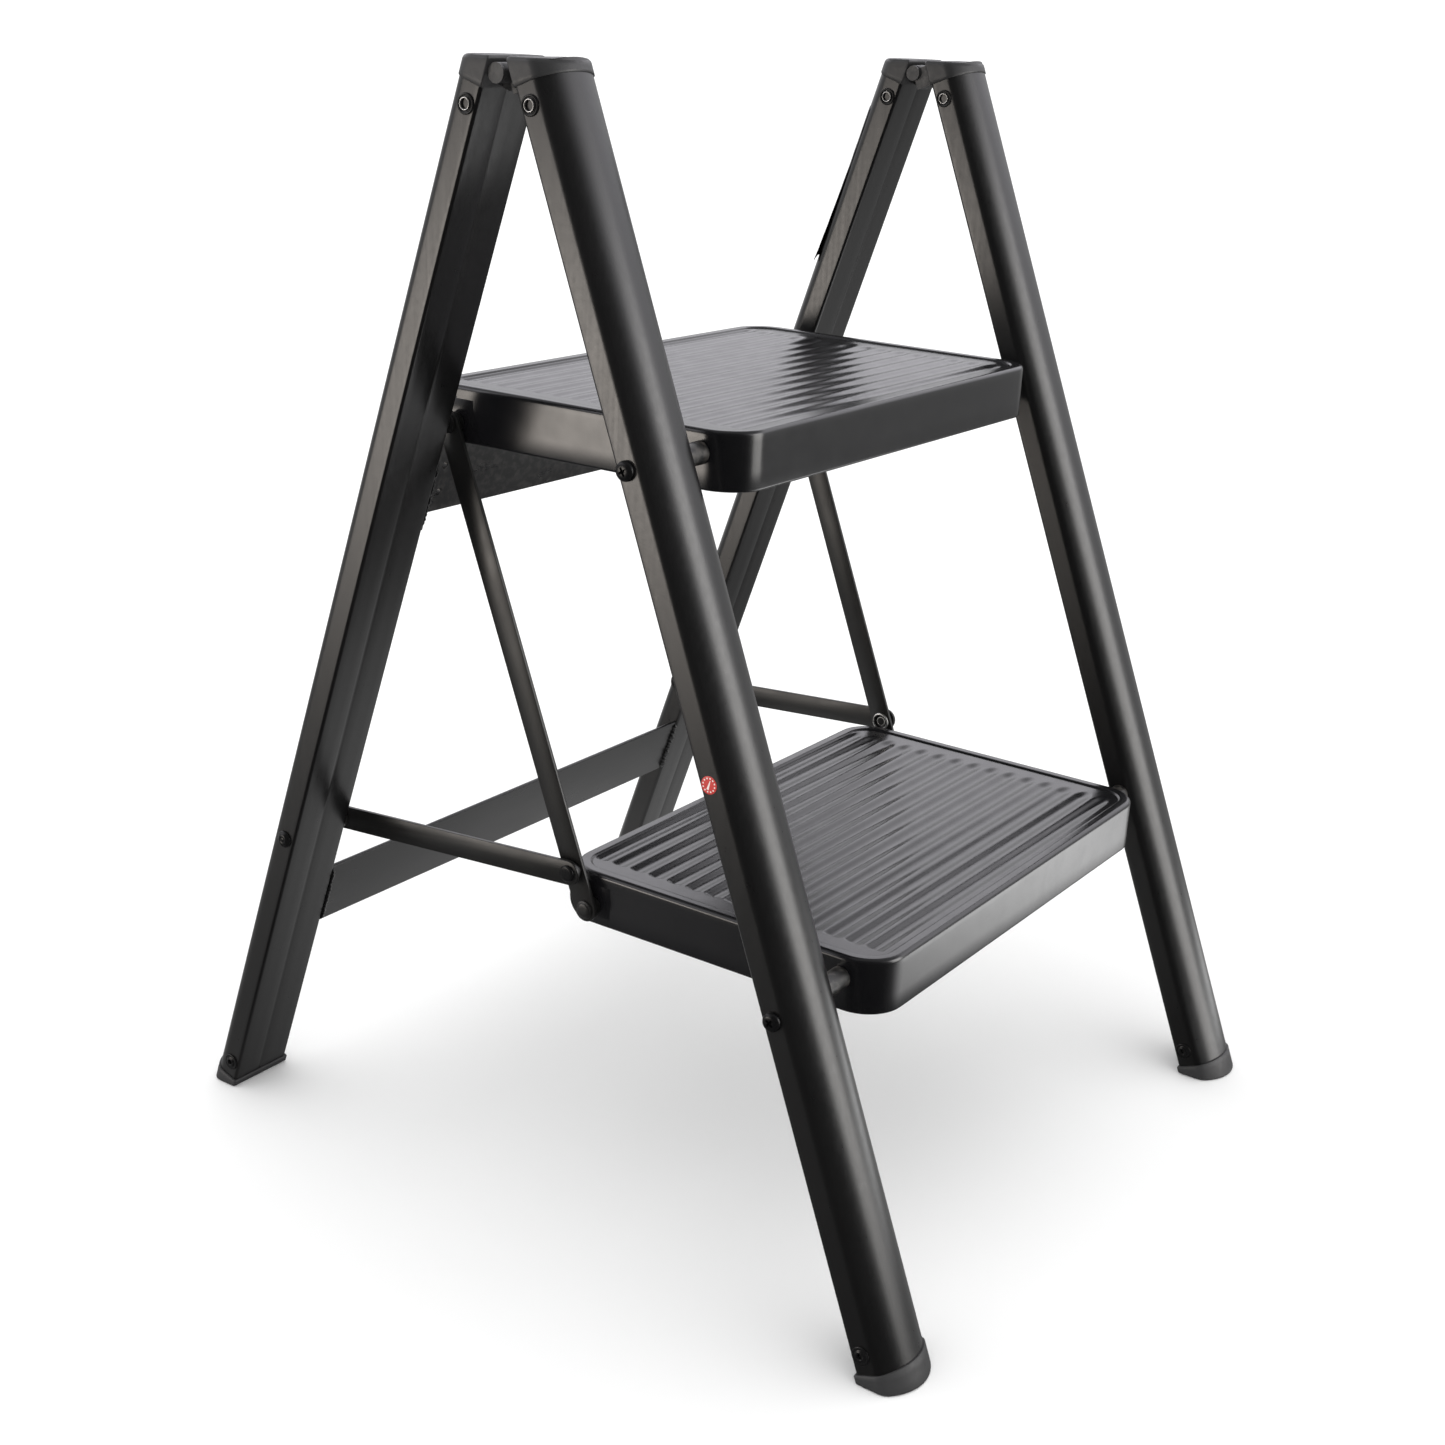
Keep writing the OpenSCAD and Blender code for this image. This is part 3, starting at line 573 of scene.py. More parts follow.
# ---------------------------------------------------------------- rivets in the legs
# turned profiles as (radius, height above the surface) in mm
FLANGE = [(0, -7.4), (2.7, -7.4), (2.7, 0.02), (5.5, 0.02), (5.9, 0.12), (6.0, 0.4), (5.95, 0.75),
          (5.7, 1.0), (5.3, 1.08), (4.9, 1.0), (4.5, 0.72), (4.15, 0.6), (3.85, 0.7), (3.68, 1.0)]
COLLAR_RING = [(3.6, 0.9), (3.62, 1.4), (3.54, 1.63), (3.34, 1.7), (3.12, 1.64), (2.98, 1.4),
               (2.92, 0.9), (2.9, 0.3)]
HOLE = [(3.3, 1.2), (2.96, 0.9), (2.8, 0.2), (2.5, -0.6), (2.4, -1.9), (2.4, -7.0), (0, -7.0)]
FOOT_FLANGE = [(0, -2.0), (2.6, -2.0), (2.6, 0.02), (5.4, 0.02), (5.85, 0.15), (6.0, 0.45), (5.9, 0.8),
               (5.5, 1.02), (5.0, 1.05), (4.5, 0.92), (4.0, 0.95), (3.4, 1.3), (2.9, 1.62),
               (2.4, 1.72), (2.0, 1.6), (1.75, 1.2), (1.6, 0.4), (1.55, -1.5), (0, -1.5)]


def scaled(profile):
    return [(r * MM, h * MM) for r, h in profile]


def rivet_spots(kind, station):
    """Matrices on both sides of both legs of a frame, station below the hinge."""
    for side in (-1, 1):
        at = leg_frame(kind, side)
        for x in (-LEG_W / 2, LEG_W / 2):
            p = at(x, RIVET_IN, station)
            q = at(x * 1.2, RIVET_IN, station)
            yield along(p, q - p)


FOOT_RIVET_UP = 12.5 * MM


def make_leg_rivets(kind):
    """Cap rivets with a bright rolled rim and foot rivets."""
    bm, ring = bmesh.new(), bmesh.new()
    for spot in rivet_spots(kind, CAP_RIVET[kind]):
        spin(bm, scaled(FLANGE + HOLE), spot, 48)
        spin(ring, scaled(COLLAR_RING), spot, 48, False)
    node = kind + "_cap_rivets"
    piece(node + "_heads", bm, [node], sharp=60)
    piece(node + "_rolled_rims", ring, [node], slot="zinc_steel", sharp=60)
    bm = bmesh.new()
    for spot in rivet_spots(kind, lip(kind) - FOOT_RIVET_UP):
        spin(bm, scaled(FOOT_FLANGE), spot, 48)
    node = kind + "_foot_rivets"
    piece(node + "_heads", bm, [node], sharp=60)


make_leg_rivets("front")
make_leg_rivets("rear")

# domed rivets that hold the cross links on the rear legs
D_IN = REAR_GAP + LEG_PIVOT_IN
D0 = Vector((0, HINGE.y + D_IN * math.cos(REAR_LEAN) + LEG_PIVOT_DOWN * math.sin(REAR_LEAN),
             HINGE.z + D_IN * math.sin(REAR_LEAN) - LEG_PIVOT_DOWN * math.cos(REAR_LEAN)))
DOME = [(0, -6), (2.5, -6), (2.5, 0.05), (5.3, 0.05), (5.75, 0.2), (5.95, 0.55), (5.9, 0.95),
        (5.5, 1.35), (4.9, 1.65), (4.4, 2.05), (3.9, 2.45), (3.3, 2.72), (2.4, 2.8), (2.0, 2.72),
        (1.7, 2.6), (1.4, 2.72), (0.8, 2.85), (0, 2.88)]


def x_spot(side, x, p):
    """Matrix at distance x from the middle plane, Z axis pointing outwards."""
    return along(mirror_x(side, (-x, p.y, p.z)), outwards(side))


bm = bmesh.new()
for side in (-1, 1):
    spin(bm, scaled(DOME), x_spot(side, HALF_W, D0), 48)
piece("leg_link_rivet_domes", bm, ["leg_link_rivets"], sharp=60)


# ---------------------------------------------------------------- pivot screws
def splay_out(p):
    """How far the splay has carried the front leg's outer side outwards at p."""
    down_leg = (HINGE.z - p.z) * math.cos(FRONT_LEAN) + (HINGE.y - p.y) * math.sin(FRONT_LEAN)
    return down_leg * math.sin(SPLAY)


PAN = [(0, -64), (2.95, -64), (2.95, 0.25), (5.4, 0.25), (5.85, 0.4), (6.0, 0.8), (5.95, 1.7),
       (5.7, 2.5), (5.2, 3.2), (4.5, 3.7), (3.6, 3.98), (2.4, 4.12), (1.2, 4.17), (0, 4.18)]


def cross_recess(base, turn):
    """Tapered cross-shaped punch."""
    bm = bmesh.new()
    for k in (0, 1):
        rings = []
        for h, half, width in ((1.4, 0.9, 0.35), (2.2, 2.1, 0.62), (4.6, 2.95, 0.85)):
            ring = []
            for x, y in ((half, width), (-half, width), (-half, -width), (half, -width)):
                v = Matrix.Rotation(turn + k * math.pi / 2, 4, "Z") @ Vector((x * MM, y * MM, h * MM))
                ring.append(base @ v)
            rings.append(ring)
        loft(bm, rings)
    bmesh.ops.recalc_face_normals(bm, faces=bm.faces[:])
    return linked("punch", bm)


def make_screws(node, pivot, turns):
    """Pan-head screws of one pivot, with their cross recesses turned by turns."""
    whole = bmesh.new()
    for side, turn in zip((-1, 1), turns):
        base = x_spot(side, HALF_W + splay_out(pivot), pivot)
        bm = bmesh.new()
        spin(bm, scaled(PAN), base, 56)
        tidy_shell(bm)
        blank = linked("blank", bm)
        punch = cross_recess(base, turn)
        cut = blank.modifiers.new("cut", "BOOLEAN")
        cut.operation = "DIFFERENCE"
        cut.solver = "EXACT"
        cut.use_self = True
        cut.object = punch
        bpy.context.view_layer.update()
        done = blank.evaluated_get(bpy.context.evaluated_depsgraph_get()).to_mesh()
        whole.from_mesh(done)
        bpy.data.objects.remove(blank)
        bpy.data.objects.remove(punch)
    piece(node + "_pan_heads", whole, [node], sharp=42)


make_screws("upper_pivot_screws", UPPER_PIVOT, (0.5, 1.1))
make_screws("lower_pivot_screws", LOWER_PIVOT, (0.95, 0.3))


# ---------------------------------------------------------------- step trays
def round_rect(inset):
    """Ring of points of the tray's plan outline, inset from its edge."""
    per_corner, along_x, along_y = 14, 26, 16
    w, d = STEP_W / 2 - inset, STEP_D / 2 - inset
    r = max(CORNER_R - inset, 1 * MM)
    pts = []
    for cx, cy, a0 in ((w - r, -d + r, -90), (w - r, d - r, 0), (-w + r, d - r, 90), (-w + r, -d + r, 180)):
        for k in range(per_corner + 1):
            t = math.radians(a0 + 90 * k / per_corner)
            pts.append((cx + r * math.cos(t), cy + r * math.sin(t)))
        n = along_y if a0 in (-90, 90) else along_x
        nxt = {-90: (w, d - r), 0: (-w + r, d), 90: (-w, -d + r), 180: (w - r, -d)}[a0]
        x0, y0 = pts[-1]
        for k in range(1, n):
            f = k / n
            pts.append((x0 + (nxt[0] - x0) * f, y0 + (nxt[1] - y0) * f))
    return pts


GROOVE_N, GROOVE_PITCH, GROOVE_SHIFT = 15, 15 * MM, 2.8 * MM
GROOVE_HALF, GROOVE_WIDE, GROOVE_DEEP = 162 * MM, 6.9 * MM, 1.5 * MM
LEFT_TAPER, RIGHT_TAPER, RIGHT_EARLY = 2.6 * MM, 14.0 * MM, 9 * MM
RIM_FADE = 2.5 * MM
PANEL_EDGE, PANEL = 9.2 * MM, -1.2 * MM
RIM_R, PIVOT_BACK, PIVOT_DOWN = 3.0 * MM, 28 * MM, 14 * MM
EAR_FROM, EAR_TO, EAR_R, EAR_BREAK = 14 * MM, 19.5 * MM, 14 * MM, 0.3 * MM
# columns of the panel's mesh in mm, close together where the grooves run out
MIDDLE_COLUMNS = [k * 12.0 for k in range(13)]
END_COLUMNS = [150, 154, 156, 158, 159, 160, 161, 162, 162.6, 163.2, 163.8, 164.4, 165, 166, 168, 170,
               173, 176]
RIGHT_COLUMNS = {152, 153, 155, 157}
ROW_STEP = 0.75


def groove_depth(x, y):
    """Pressed groove: rounded trough with tapering ends."""
    first = -GROOVE_PITCH * (GROOVE_N - 1) / 2 + GROOVE_SHIFT
    k = min(GROOVE_N - 1, max(0, round((y - first) / GROOVE_PITCH)))
    across = abs(y - (first + k * GROOVE_PITCH)) / GROOVE_WIDE
    beyond = max(0.0, -x - GROOVE_HALF) / LEFT_TAPER + max(0.0, x - GROOVE_HALF + RIGHT_EARLY) / RIGHT_TAPER
    to_rim = max(0.0, min(1.0, (STEP_D / 2 - PANEL_EDGE - abs(y)) / RIM_FADE))
    q = math.sqrt(across ** 2 + beyond ** 2)
    if q >= 1:
        return 0.0
    return GROOVE_DEEP * to_rim * (0.5 + 0.5 * math.cos(math.pi * q)) ** 0.75


def make_tray(node, pivot):
    """Tray: rolled rim, skirt, grooved panel with its underside, and the two rear ears."""
    mid = Vector((0, pivot.y - PIVOT_BACK + STEP_D / 2, pivot.z + PIVOT_DOWN))
    bm = bmesh.new()
    rings = []

    def ring(inset, z):
        rings.append([mid + Vector((x, y, z)) for x, y in round_rect(inset)])

    # inside of the rim, over the rim, round the edge, down the skirt and up inside
    ring(9.6 * MM, PANEL - 0.25 * MM)
    ring(9.0 * MM, PANEL + 0.05 * MM)
    ring(8.5 * MM, PANEL + 0.55 * MM)
    ring(8.0 * MM, -0.25 * MM)
    ring(7.4 * MM, -0.05 * MM)
    ring(6.6 * MM, 0)
    ring(3.4 * MM, 0)
    for k in range(7):
        t = k / 6 * math.pi / 2
        ring(RIM_R * (1 - math.sin(t)), -RIM_R + RIM_R * math.cos(t))
    ring(0, -6 * MM)
    ring(0.05 * MM, -12 * MM)
    ring(0.05 * MM, -24 * MM)
    ring(0, -SKIRT_H + 1.6 * MM)
    ring(0.25 * MM, -SKIRT_H + 0.5 * MM)
    ring(0.8 * MM, -SKIRT_H)
    ring(1.35 * MM, -SKIRT_H + 0.5 * MM)
    ring(SHEET, -SKIRT_H + 1.6 * MM)
    ring(SHEET, -20 * MM)
    ring(SHEET, -5 * MM)
    ring(SHEET + 1.4 * MM, PANEL - SHEET - 0.4 * MM)
    ring(9.6 * MM, PANEL - SHEET - 0.2 * MM)
    loft(bm, rings, False, False)
    # grooved panel and its underside
    x_half, y_half = (STEP_W / 2 - PANEL_EDGE) / MM, (STEP_D / 2 - PANEL_EDGE) / MM
    both_sides = MIDDLE_COLUMNS + END_COLUMNS
    xs = sorted({-x for x in both_sides} | set(both_sides) | RIGHT_COLUMNS)
    xs = sorted({max(-x_half, min(x_half, x)) for x in xs})
    n = int(2 * y_half / ROW_STEP)
    ys = [-y_half + 2 * y_half * k / n for k in range(n + 1)]
    inner_r = (CORNER_R - PANEL_EDGE) / MM

    def kept(x, y):
        """True inside the panel's rounded corners."""
        cx, cy = abs(x) - (x_half - inner_r), abs(y) - (y_half - inner_r)
        return not (cx > 0 and cy > 0 and math.hypot(cx, cy) > inner_r + 1.6)

    for lift, flip in ((0.0, False), (-SHEET, True)):
        grid = {}
        for i, x in enumerate(xs):
            for j, y in enumerate(ys):
                z = PANEL - groove_depth(x * MM, y * MM) + lift
                grid[i, j] = bm.verts.new(mid + Vector((x * MM, y * MM, z)))
        for i in range(len(xs) - 1):
            for j in range(len(ys) - 1):
                if kept((xs[i] + xs[i + 1]) / 2, (ys[j] + ys[j + 1]) / 2):
                    quad = (grid[i, j], grid[i + 1, j], grid[i + 1, j + 1], grid[i, j + 1])
                    bm.faces.new(tuple(reversed(quad)) if flip else quad)
        loose = [v for v in grid.values() if not v.link_faces]
        bmesh.ops.delete(bm, geom=loose, context="VERTS")
    # flat ears that carry the link rivets past the rounded rear corners
    pin = pivot + Vector((0, LINK_DY, LINK_DZ))
    for side in (-1, 1):
        low, high, reach = mid.z - SKIRT_H + 0.3 * MM, mid.z - 6 * MM, pin.y + EAR_TO
        outline = [(pin.y - EAR_FROM, low), (reach - EAR_R, low)]
        outline += [(reach - EAR_R + EAR_R * math.sin(t), low + EAR_R - EAR_R * math.cos(t))
                    for t in (k * math.pi / 16 for k in range(1, 9))]
        outline += [(reach, high - 3 * MM), (reach - 3 * MM, high), (pin.y - EAR_FROM, high)]
        cy, cz = (sum(p[i] for p in outline) / len(outline) for i in (0, 1))
        rings = []
        for x, draw in ((SKIRT_X - SHEET, 0), (SKIRT_X - 0.25 * MM, 0), (SKIRT_X - 0.02 * MM, EAR_BREAK)):
            ring_pts = []
            for y0, z0 in outline:
                away = Vector((y0 - cy, z0 - cz)).normalized() * draw
                ring_pts.append(mirror_x(side, (-x, y0 - away.x, z0 - away.y)))
            rings.append(ring_pts if side < 0 else ring_pts[::-1])
        loft(bm, rings)
    # the open panels keep the way that they were wound, so piece() isn't used
    return smooth_piece(node + "_pressed_tray", bm, [node])


make_tray("upper_step", UPPER_PIVOT)
make_tray("lower_step", LOWER_PIVOT)


# ---------------------------------------------------------------- link bars and their rivets
B1 = UPPER_PIVOT + Vector((0, LINK_DY, LINK_DZ))
B2 = LOWER_PIVOT + Vector((0, LINK_DY, LINK_DZ))
C0 = JOINTS["cross_left_swing"].copy()
C0.x = 0
LINK_BREAK = 0.35 * MM


def make_link(name, node, side, x_near, a, b):
    """Flat bar between two pins with round ends and broken edges."""
    a, b = a.copy(), b.copy()
    a.x = b.x = 0
    way = (b - a).normalized()
    across = Vector((0, -way.z, way.y))
    outline = []
    r = LINK_W / 2
    n = 20
    for k in range(n + 1):
        t = math.pi / 2 + math.pi * k / n
        outline.append(a + way * (r * math.cos(t)) + across * (r * math.sin(t)))
    for k in range(1, 12):
        outline.append(a - across * r + (b - a) * (k / 12))
    for k in range(n + 1):
        t = -math.pi / 2 + math.pi * k / n
        outline.append(b + way * (r * math.cos(t)) + across * (r * math.sin(t)))
    for k in range(1, 12):
        outline.append(b + across * r + (a - b) * (k / 12))
    bm = bmesh.new()
    rings = []
    c = LINK_BREAK
    for x, inset in ((x_near, c), (x_near + c * 0.3, c * 0.3), (x_near + c, 0), (x_near + LINK_T - c, 0),
                     (x_near + LINK_T - c * 0.3, c * 0.3), (x_near + LINK_T, c)):
        ring = []
        for p in outline:
            t = max(0.0, min((b - a).length, (p - a).dot(way)))
            core = a + way * t
            q = core + (p - core) * (1 - inset / r)
            ring.append(mirror_x(side, (-x, q.y, q.z)))
        rings.append(ring)
    loft(bm, rings)
    return piece(name, bm, [node], sharp=50)


HEAD = [(0, -8), (2.9, -8), (2.9, 0.05), (5.2, 0.05), (5.5, 0.2), (5.6, 0.5), (5.6, 1.2), (5.35, 1.65),
        (4.7, 2.05), (4.2, 2.15), (2.0, 2.2), (0, 2.2)]
STEPPED_HEAD = [(0, -8), (2.9, -8), (2.9, 0.05), (5.7, 0.05), (6.05, 0.2), (6.2, 0.5), (6.2, 0.95),
                (5.95, 1.25), (5.35, 1.35), (4.95, 1.45), (4.65, 1.9), (4.2, 2.12), (2.0, 2.2), (0, 2.2)]
RIM_IN = [(2.9, 0.05), (6.4, 0.05), (6.85, 0.25), (7.0, 0.7), (6.9, 1.2), (6.55, 1.55), (6.1, 1.65),
          (5.7, 1.5), (5.5, 1.1), (5.4, 0.5)]
RIM_CORE = [(5.5, 0.9), (5.2, 0.35), (4.4, 0.15), (3.7, 0.1), (3.4, -0.3), (3.2, -3), (0, -3)]


UPRIGHT_OUT = UPRIGHT_X + LINK_T + 0.1 * MM
CROSS_OUT = CROSS_X + LINK_T + 0.1 * MM


def make_pins(side, tag):
    """Riveted pin of the two links (head outside, spacer, rolled rim inside) and the cross rivet's head."""
    bm = bmesh.new()
    spin(bm, scaled(HEAD), x_spot(side, CROSS_OUT, C0), 48)
    soft_rod(bm, mirror_x(side, (-UPRIGHT_OUT, C0.y, C0.z)), outwards(side), 3.3 * MM, 7 * MM, 0.5 * MM)
    inner = along(mirror_x(side, (-(UPRIGHT_X - 0.1 * MM), C0.y, C0.z)), inwards(side))
    spin(bm, scaled(RIM_CORE), inner, 48, False)
    node = f"joint_rivet_{tag}"
    piece(node + "_head", bm, [node], sharp=55)
    bm = bmesh.new()
    spin(bm, scaled(RIM_IN), inner, 48, False)
    piece(node + "_rolled_rim", bm, [node], slot="zinc_steel", sharp=60)
    bm = bmesh.new()
    node = f"cross_rivet_{tag}"
    back = along(mirror_x(side, (-(CROSS_X - 0.05 * MM), D0.y, D0.z)), inwards(side))
    spin(bm, scaled([(0, -2.4), (2.5, -2.4)] + [(r, min(h, 1.6)) for r, h in HEAD[2:]]), back)
    piece(node + "_head", bm, [node], sharp=55)


for side, tag in ((-1, "left"), (1, "right")):
    make_link(f"upright_link_{tag}_bar", f"upright_link_{tag}", side, UPRIGHT_X, B2, B1)
    make_link(f"cross_link_{tag}_bar", f"cross_link_{tag}", side, CROSS_X, C0, D0)
    make_pins(side, tag)

for node, p in (("upper_link_rivets", B1), ("lower_link_rivets", B2)):
    bm = bmesh.new()
    for side in (-1, 1):
        spin(bm, scaled(STEPPED_HEAD), x_spot(side, UPRIGHT_OUT, p), 48)
        way = outwards(side)
        soft_rod(bm, mirror_x(side, (-(SKIRT_X + 0.2 * MM), p.y, p.z)), way,
                 UPRIGHT_X - SKIRT_X - 0.4 * MM, 6.4 * MM, 0.4 * MM)
        soft_rod(bm, mirror_x(side, (-(SKIRT_X - SHEET - 2.2 * MM), p.y, p.z)), way,
                 1.7 * MM, 4.6 * MM, 0.4 * MM)
    # a piece with a slot of its own replaces nothing by itself, so it is said here
    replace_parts(piece(node + "_heads", bm, [node], slot="link_finish", sharp=55), node)


# ---------------------------------------------------------------- crossbars and welds
def rear_plane(x, d, s):
    """Point between the rear legs: x across, d behind their inner flats, s below the hinge."""
    return Matrix.Rotation(REAR_LEAN, 3, "X") @ Vector((x, d + REAR_GAP, -s)) + HINGE


def make_lower_bar():
    """Flat bar with rounded edges; the upper crossbar shows its CAD mesh."""
    arm = LEG_IN_X - 0.3 * MM
    d0, t, r = 1.5 * MM, 3.2 * MM, 0.9 * MM
    s0, s1 = LOWER_BAR_DOWN, LOWER_BAR_DOWN + BAR_H
    section = []
    for cd, cs, a0 in ((d0 + t - r, s0 + r, -90), (d0 + t - r, s1 - r, 0), (d0 + r, s1 - r, 90),
                       (d0 + r, s0 + r, 180)):
        for k in range(5):
            a = math.radians(a0 + 22.5 * k)
            section.append((cd + r * math.cos(a), cs + r * math.sin(a)))
    bm = bmesh.new()
    loft(bm, [[rear_plane(-arm + 2 * arm * k / 12, d, s) for d, s in section] for k in range(13)])
    return piece("lower_crossbar_flat", bm, ["lower_crossbar"], sharp=60)


make_lower_bar()


WELD_RIPPLE = 3.1 * MM


def make_welds():
    """Uneven weld beads down both ends of the crossbars."""
    bm = bmesh.new()
    # start and end below the hinge, depth, and size of each bead
    lines = ((LOWER_BAR_DOWN + 1.5 * MM, LOWER_BAR_DOWN + BAR_H - 1.5 * MM, 1.0 * MM, 1.0),
             (UPPER_BAR_DOWN + 2 * MM, UPPER_BAR_DOWN + BAR_H - 2 * MM, 2.2 * MM, 0.8))
    n, seg = 64, 14
    cx = LEG_IN_X - 0.6 * MM
    for side in (-1, 1):
        for s0, s1, d, size in lines:
            rings = []
            for i in range(n + 1):
                f = i / n
                s = s0 + (s1 - s0) * f
                wob = noise.noise(Vector((s * 260, side * 3.1, size * 7)))
                ripple = 0.5 + 0.5 * math.cos(2 * math.pi * s / WELD_RIPPLE)
                taper = min(1.0, math.sqrt(max(0.0, min(f, 1 - f) * 14) + 0.02))
                r = (1.9 + 0.55 * ripple + 0.9 * wob) * MM * size * taper
                cd = d + 0.5 * MM * noise.noise(Vector((s * 190, 5.0, side)))
                ring = []
                for k in range(seg):
                    a = 2 * math.pi * k / seg
                    rr = r * (1 + 0.22 * noise.noise(Vector((s * 700, 2 * math.cos(a), 2 * math.sin(a)))))
                    p = rear_plane(-(cx + min(rr * math.cos(a), 0.6 * MM)), cd + rr * math.sin(a), s)
                    ring.append(mirror_x(side, p))
                rings.append(ring)
            loft(bm, rings)
    return piece("crossbar_weld_beads", bm, ["crossbar_welds"], sharp=80)


make_welds()


# ---------------------------------------------------------------- sticker and label
STICKER_IN, STICKER_DOWN, STICKER_R = 6.8 * MM, 409.5 * MM, 5.4 * MM


def make_sticker():
    """Thin disc on the outer side of the left front leg."""
    at = leg_frame("front", -1)
    centre = at(-LEG_W / 2, STICKER_IN, STICKER_DOWN)
    out = (at(-LEG_W / 2 - 10 * MM, STICKER_IN, STICKER_DOWN) - centre).normalized()
    up = (at(-LEG_W / 2, STICKER_IN, STICKER_DOWN - 10 * MM) - centre).normalized()
    side = up.cross(out)
    bm = bmesh.new()
    uv = bm.loops.layers.uv.new("UVMap")
    rings = []
    for share, h in ((1, 0.03), (1, 0.16), (0.985, 0.2), (0.6, 0.2), (0.2, 0.2)):
        r = STICKER_R * share
        rings.append([centre + out * h * MM + side * (r * math.cos(a)) + up * (r * math.sin(a))
                      for a in (2 * math.pi * k / 48 for k in range(48))])
    loft(bm, rings, False, True)
    for f in bm.faces:
        for loop in f.loops:
            rel = loop.vert.co - centre
            loop[uv].uv = (0.5 + rel.dot(side) / (2 * STICKER_R), 0.5 + rel.dot(up) / (2 * STICKER_R))
    return piece("inspection_sticker_disc", bm, ["inspection_sticker"])


LABEL_TOP, LABEL_BOTTOM, LABEL_THICK = 37 * MM, 157 * MM, 0.18 * MM
LABEL_FROM, LABEL_TO = math.radians(92), math.radians(131)


def make_label():
    """Dark blank film on the crown of the right rear leg; its lower end has let go and curls away."""
    at = leg_frame("rear", 1)
    bm = bmesh.new()
    rows, cols = 44, 14
    sheet_pts = []
    for i in range(rows + 1):
        f = i / rows
        s = LABEL_TOP + (LABEL_BOTTOM - LABEL_TOP) * f
        loose = max(0.0, (f - 0.25) / 0.75)
        row = []
        for j in range(cols + 1):
            g = j / cols
            a = LABEL_FROM + (LABEL_TO - LABEL_FROM) * g
            edge_lift = max(0.0, g - 0.45) / 0.55
            lift = (0.3 + (0.5 * f + 2.6 * loose ** 1.6) * edge_lift) * MM
            lift += 0.45 * MM * noise.noise(Vector((s * 70, g * 2, 1.0))) * edge_lift * min(1, f * 4)
            r = CROWN_R + lift
            torn = 1.5 * MM * math.sin(g * 9) if i == rows else 0
            row.append((-r * math.cos(a), CROWN_Y + r * math.sin(a), s + torn))
        sheet_pts.append(row)
    front = [[bm.verts.new(at(x, d, s)) for x, d, s in row] for row in sheet_pts]
    for i in range(rows):
        for j in range(cols):
            bm.faces.new((front[i][j], front[i][j + 1], front[i + 1][j + 1], front[i + 1][j]))
    obj = piece("blank_label_film", bm, ["blank_label"])
    thick = obj.modifiers.new("film", "SOLIDIFY")
    thick.thickness = LABEL_THICK
    thick.offset = 0
    return obj


make_sticker()
make_label()


# ---------------------------------------------------------------- light, floor
TO_CAMERA = (-0.826, -0.563)
# brightness of the room from straight below (0) over the horizon (0.5) to straight above (1)
ROOM_BY_HEIGHT = [(0.0, (0.06, 0.06, 0.06)), (0.21, (0.11, 0.11, 0.11)), (0.28, (0.40, 0.40, 0.40)),
                  (0.34, (0.33, 0.33, 0.33)), (0.40, (0.36, 0.36, 0.36)), (0.45, (0.54, 0.54, 0.54)),
                  (0.52, (0.53, 0.53, 0.54)), (0.60, (1.0, 1.0, 1.03)), (0.67, (1.80, 1.77, 1.88)),
                  (0.77, (2.1, 2.07, 2.18)), (0.86, (0.5, 0.5, 0.52)), (1.0, (0.35, 0.35, 0.36))]
AMBIENT = (1.25, 1.25, 1.25)


def box_light(name, place, aim, size, size_y, power, tint):
    """Area light that makes highlights but no diffuse light."""
    data = bpy.data.lights.new(name, "AREA")
    data.energy = power
    data.color = tint
    data.shape = "RECTANGLE"
    data.size = size
    data.size_y = size_y
    lamp = bpy.data.objects.new(name, data)
    way = Vector(aim) - Vector(place)
    lamp.matrix_world = Matrix.Translation(place) @ way.to_track_quat("-Z", "Y").to_matrix().to_4x4()
    lamp.visible_diffuse = False
    bpy.context.scene.collection.objects.link(lamp)


def soft_panel(name, place, aim, size, size_y, radiance, tint=(1, 1, 1)):
    """Glowing panel that fades out to its rim; it shows only in gloss."""
    bm = bmesh.new()
    bmesh.ops.create_grid(bm, x_segments=1, y_segments=1, size=0.5)
    panel = linked(name, bm)
    mat, ptree, _ = new_material(name)
    where = ptree.nodes.new("ShaderNodeTexCoord")
    ball = ptree.nodes.new("ShaderNodeTexGradient")
    ball.gradient_type = "SPHERICAL"
    centred = ptree.nodes.new("ShaderNodeMapping")
    centred.inputs["Scale"].default_value = (2, 2, 2)
    ptree.links.new(where.outputs["Object"], centred.inputs["Vector"])
    ptree.links.new(centred.outputs["Vector"], ball.inputs["Vector"])
    fade = ramp(ptree, ball.outputs["Fac"],
                [(0.0, (0, 0, 0)), (0.55, (0.75, 0.75, 0.75)), (1.0, (1, 1, 1))])
    glow = ptree.nodes.new("ShaderNodeEmission")
    ptree.links.new(blend_colour(ptree, fade, (0, 0, 0), tint), glow.inputs["Color"])
    glow.inputs["Strength"].default_value = radiance
    clear = ptree.nodes.new("ShaderNodeBsdfTransparent")
    both = ptree.nodes.new("ShaderNodeAddShader")
    ptree.links.new(glow.outputs[0], both.inputs[0])
    ptree.links.new(clear.outputs[0], both.inputs[1])
    ptree.links.new(both.outputs[0], ptree.nodes["Material Output"].inputs["Surface"])
    panel.data.materials.append(mat)
    way = Vector(aim) - Vector(place)
    turn = way.to_track_quat("Z", "Y").to_matrix().to_4x4()
    panel.matrix_world = Matrix.Translation(place) @ turn @ Matrix.Diagonal((size, size_y, 1, 1))
    panel.visible_camera = False
    panel.visible_diffuse = False
    panel.visible_shadow = False


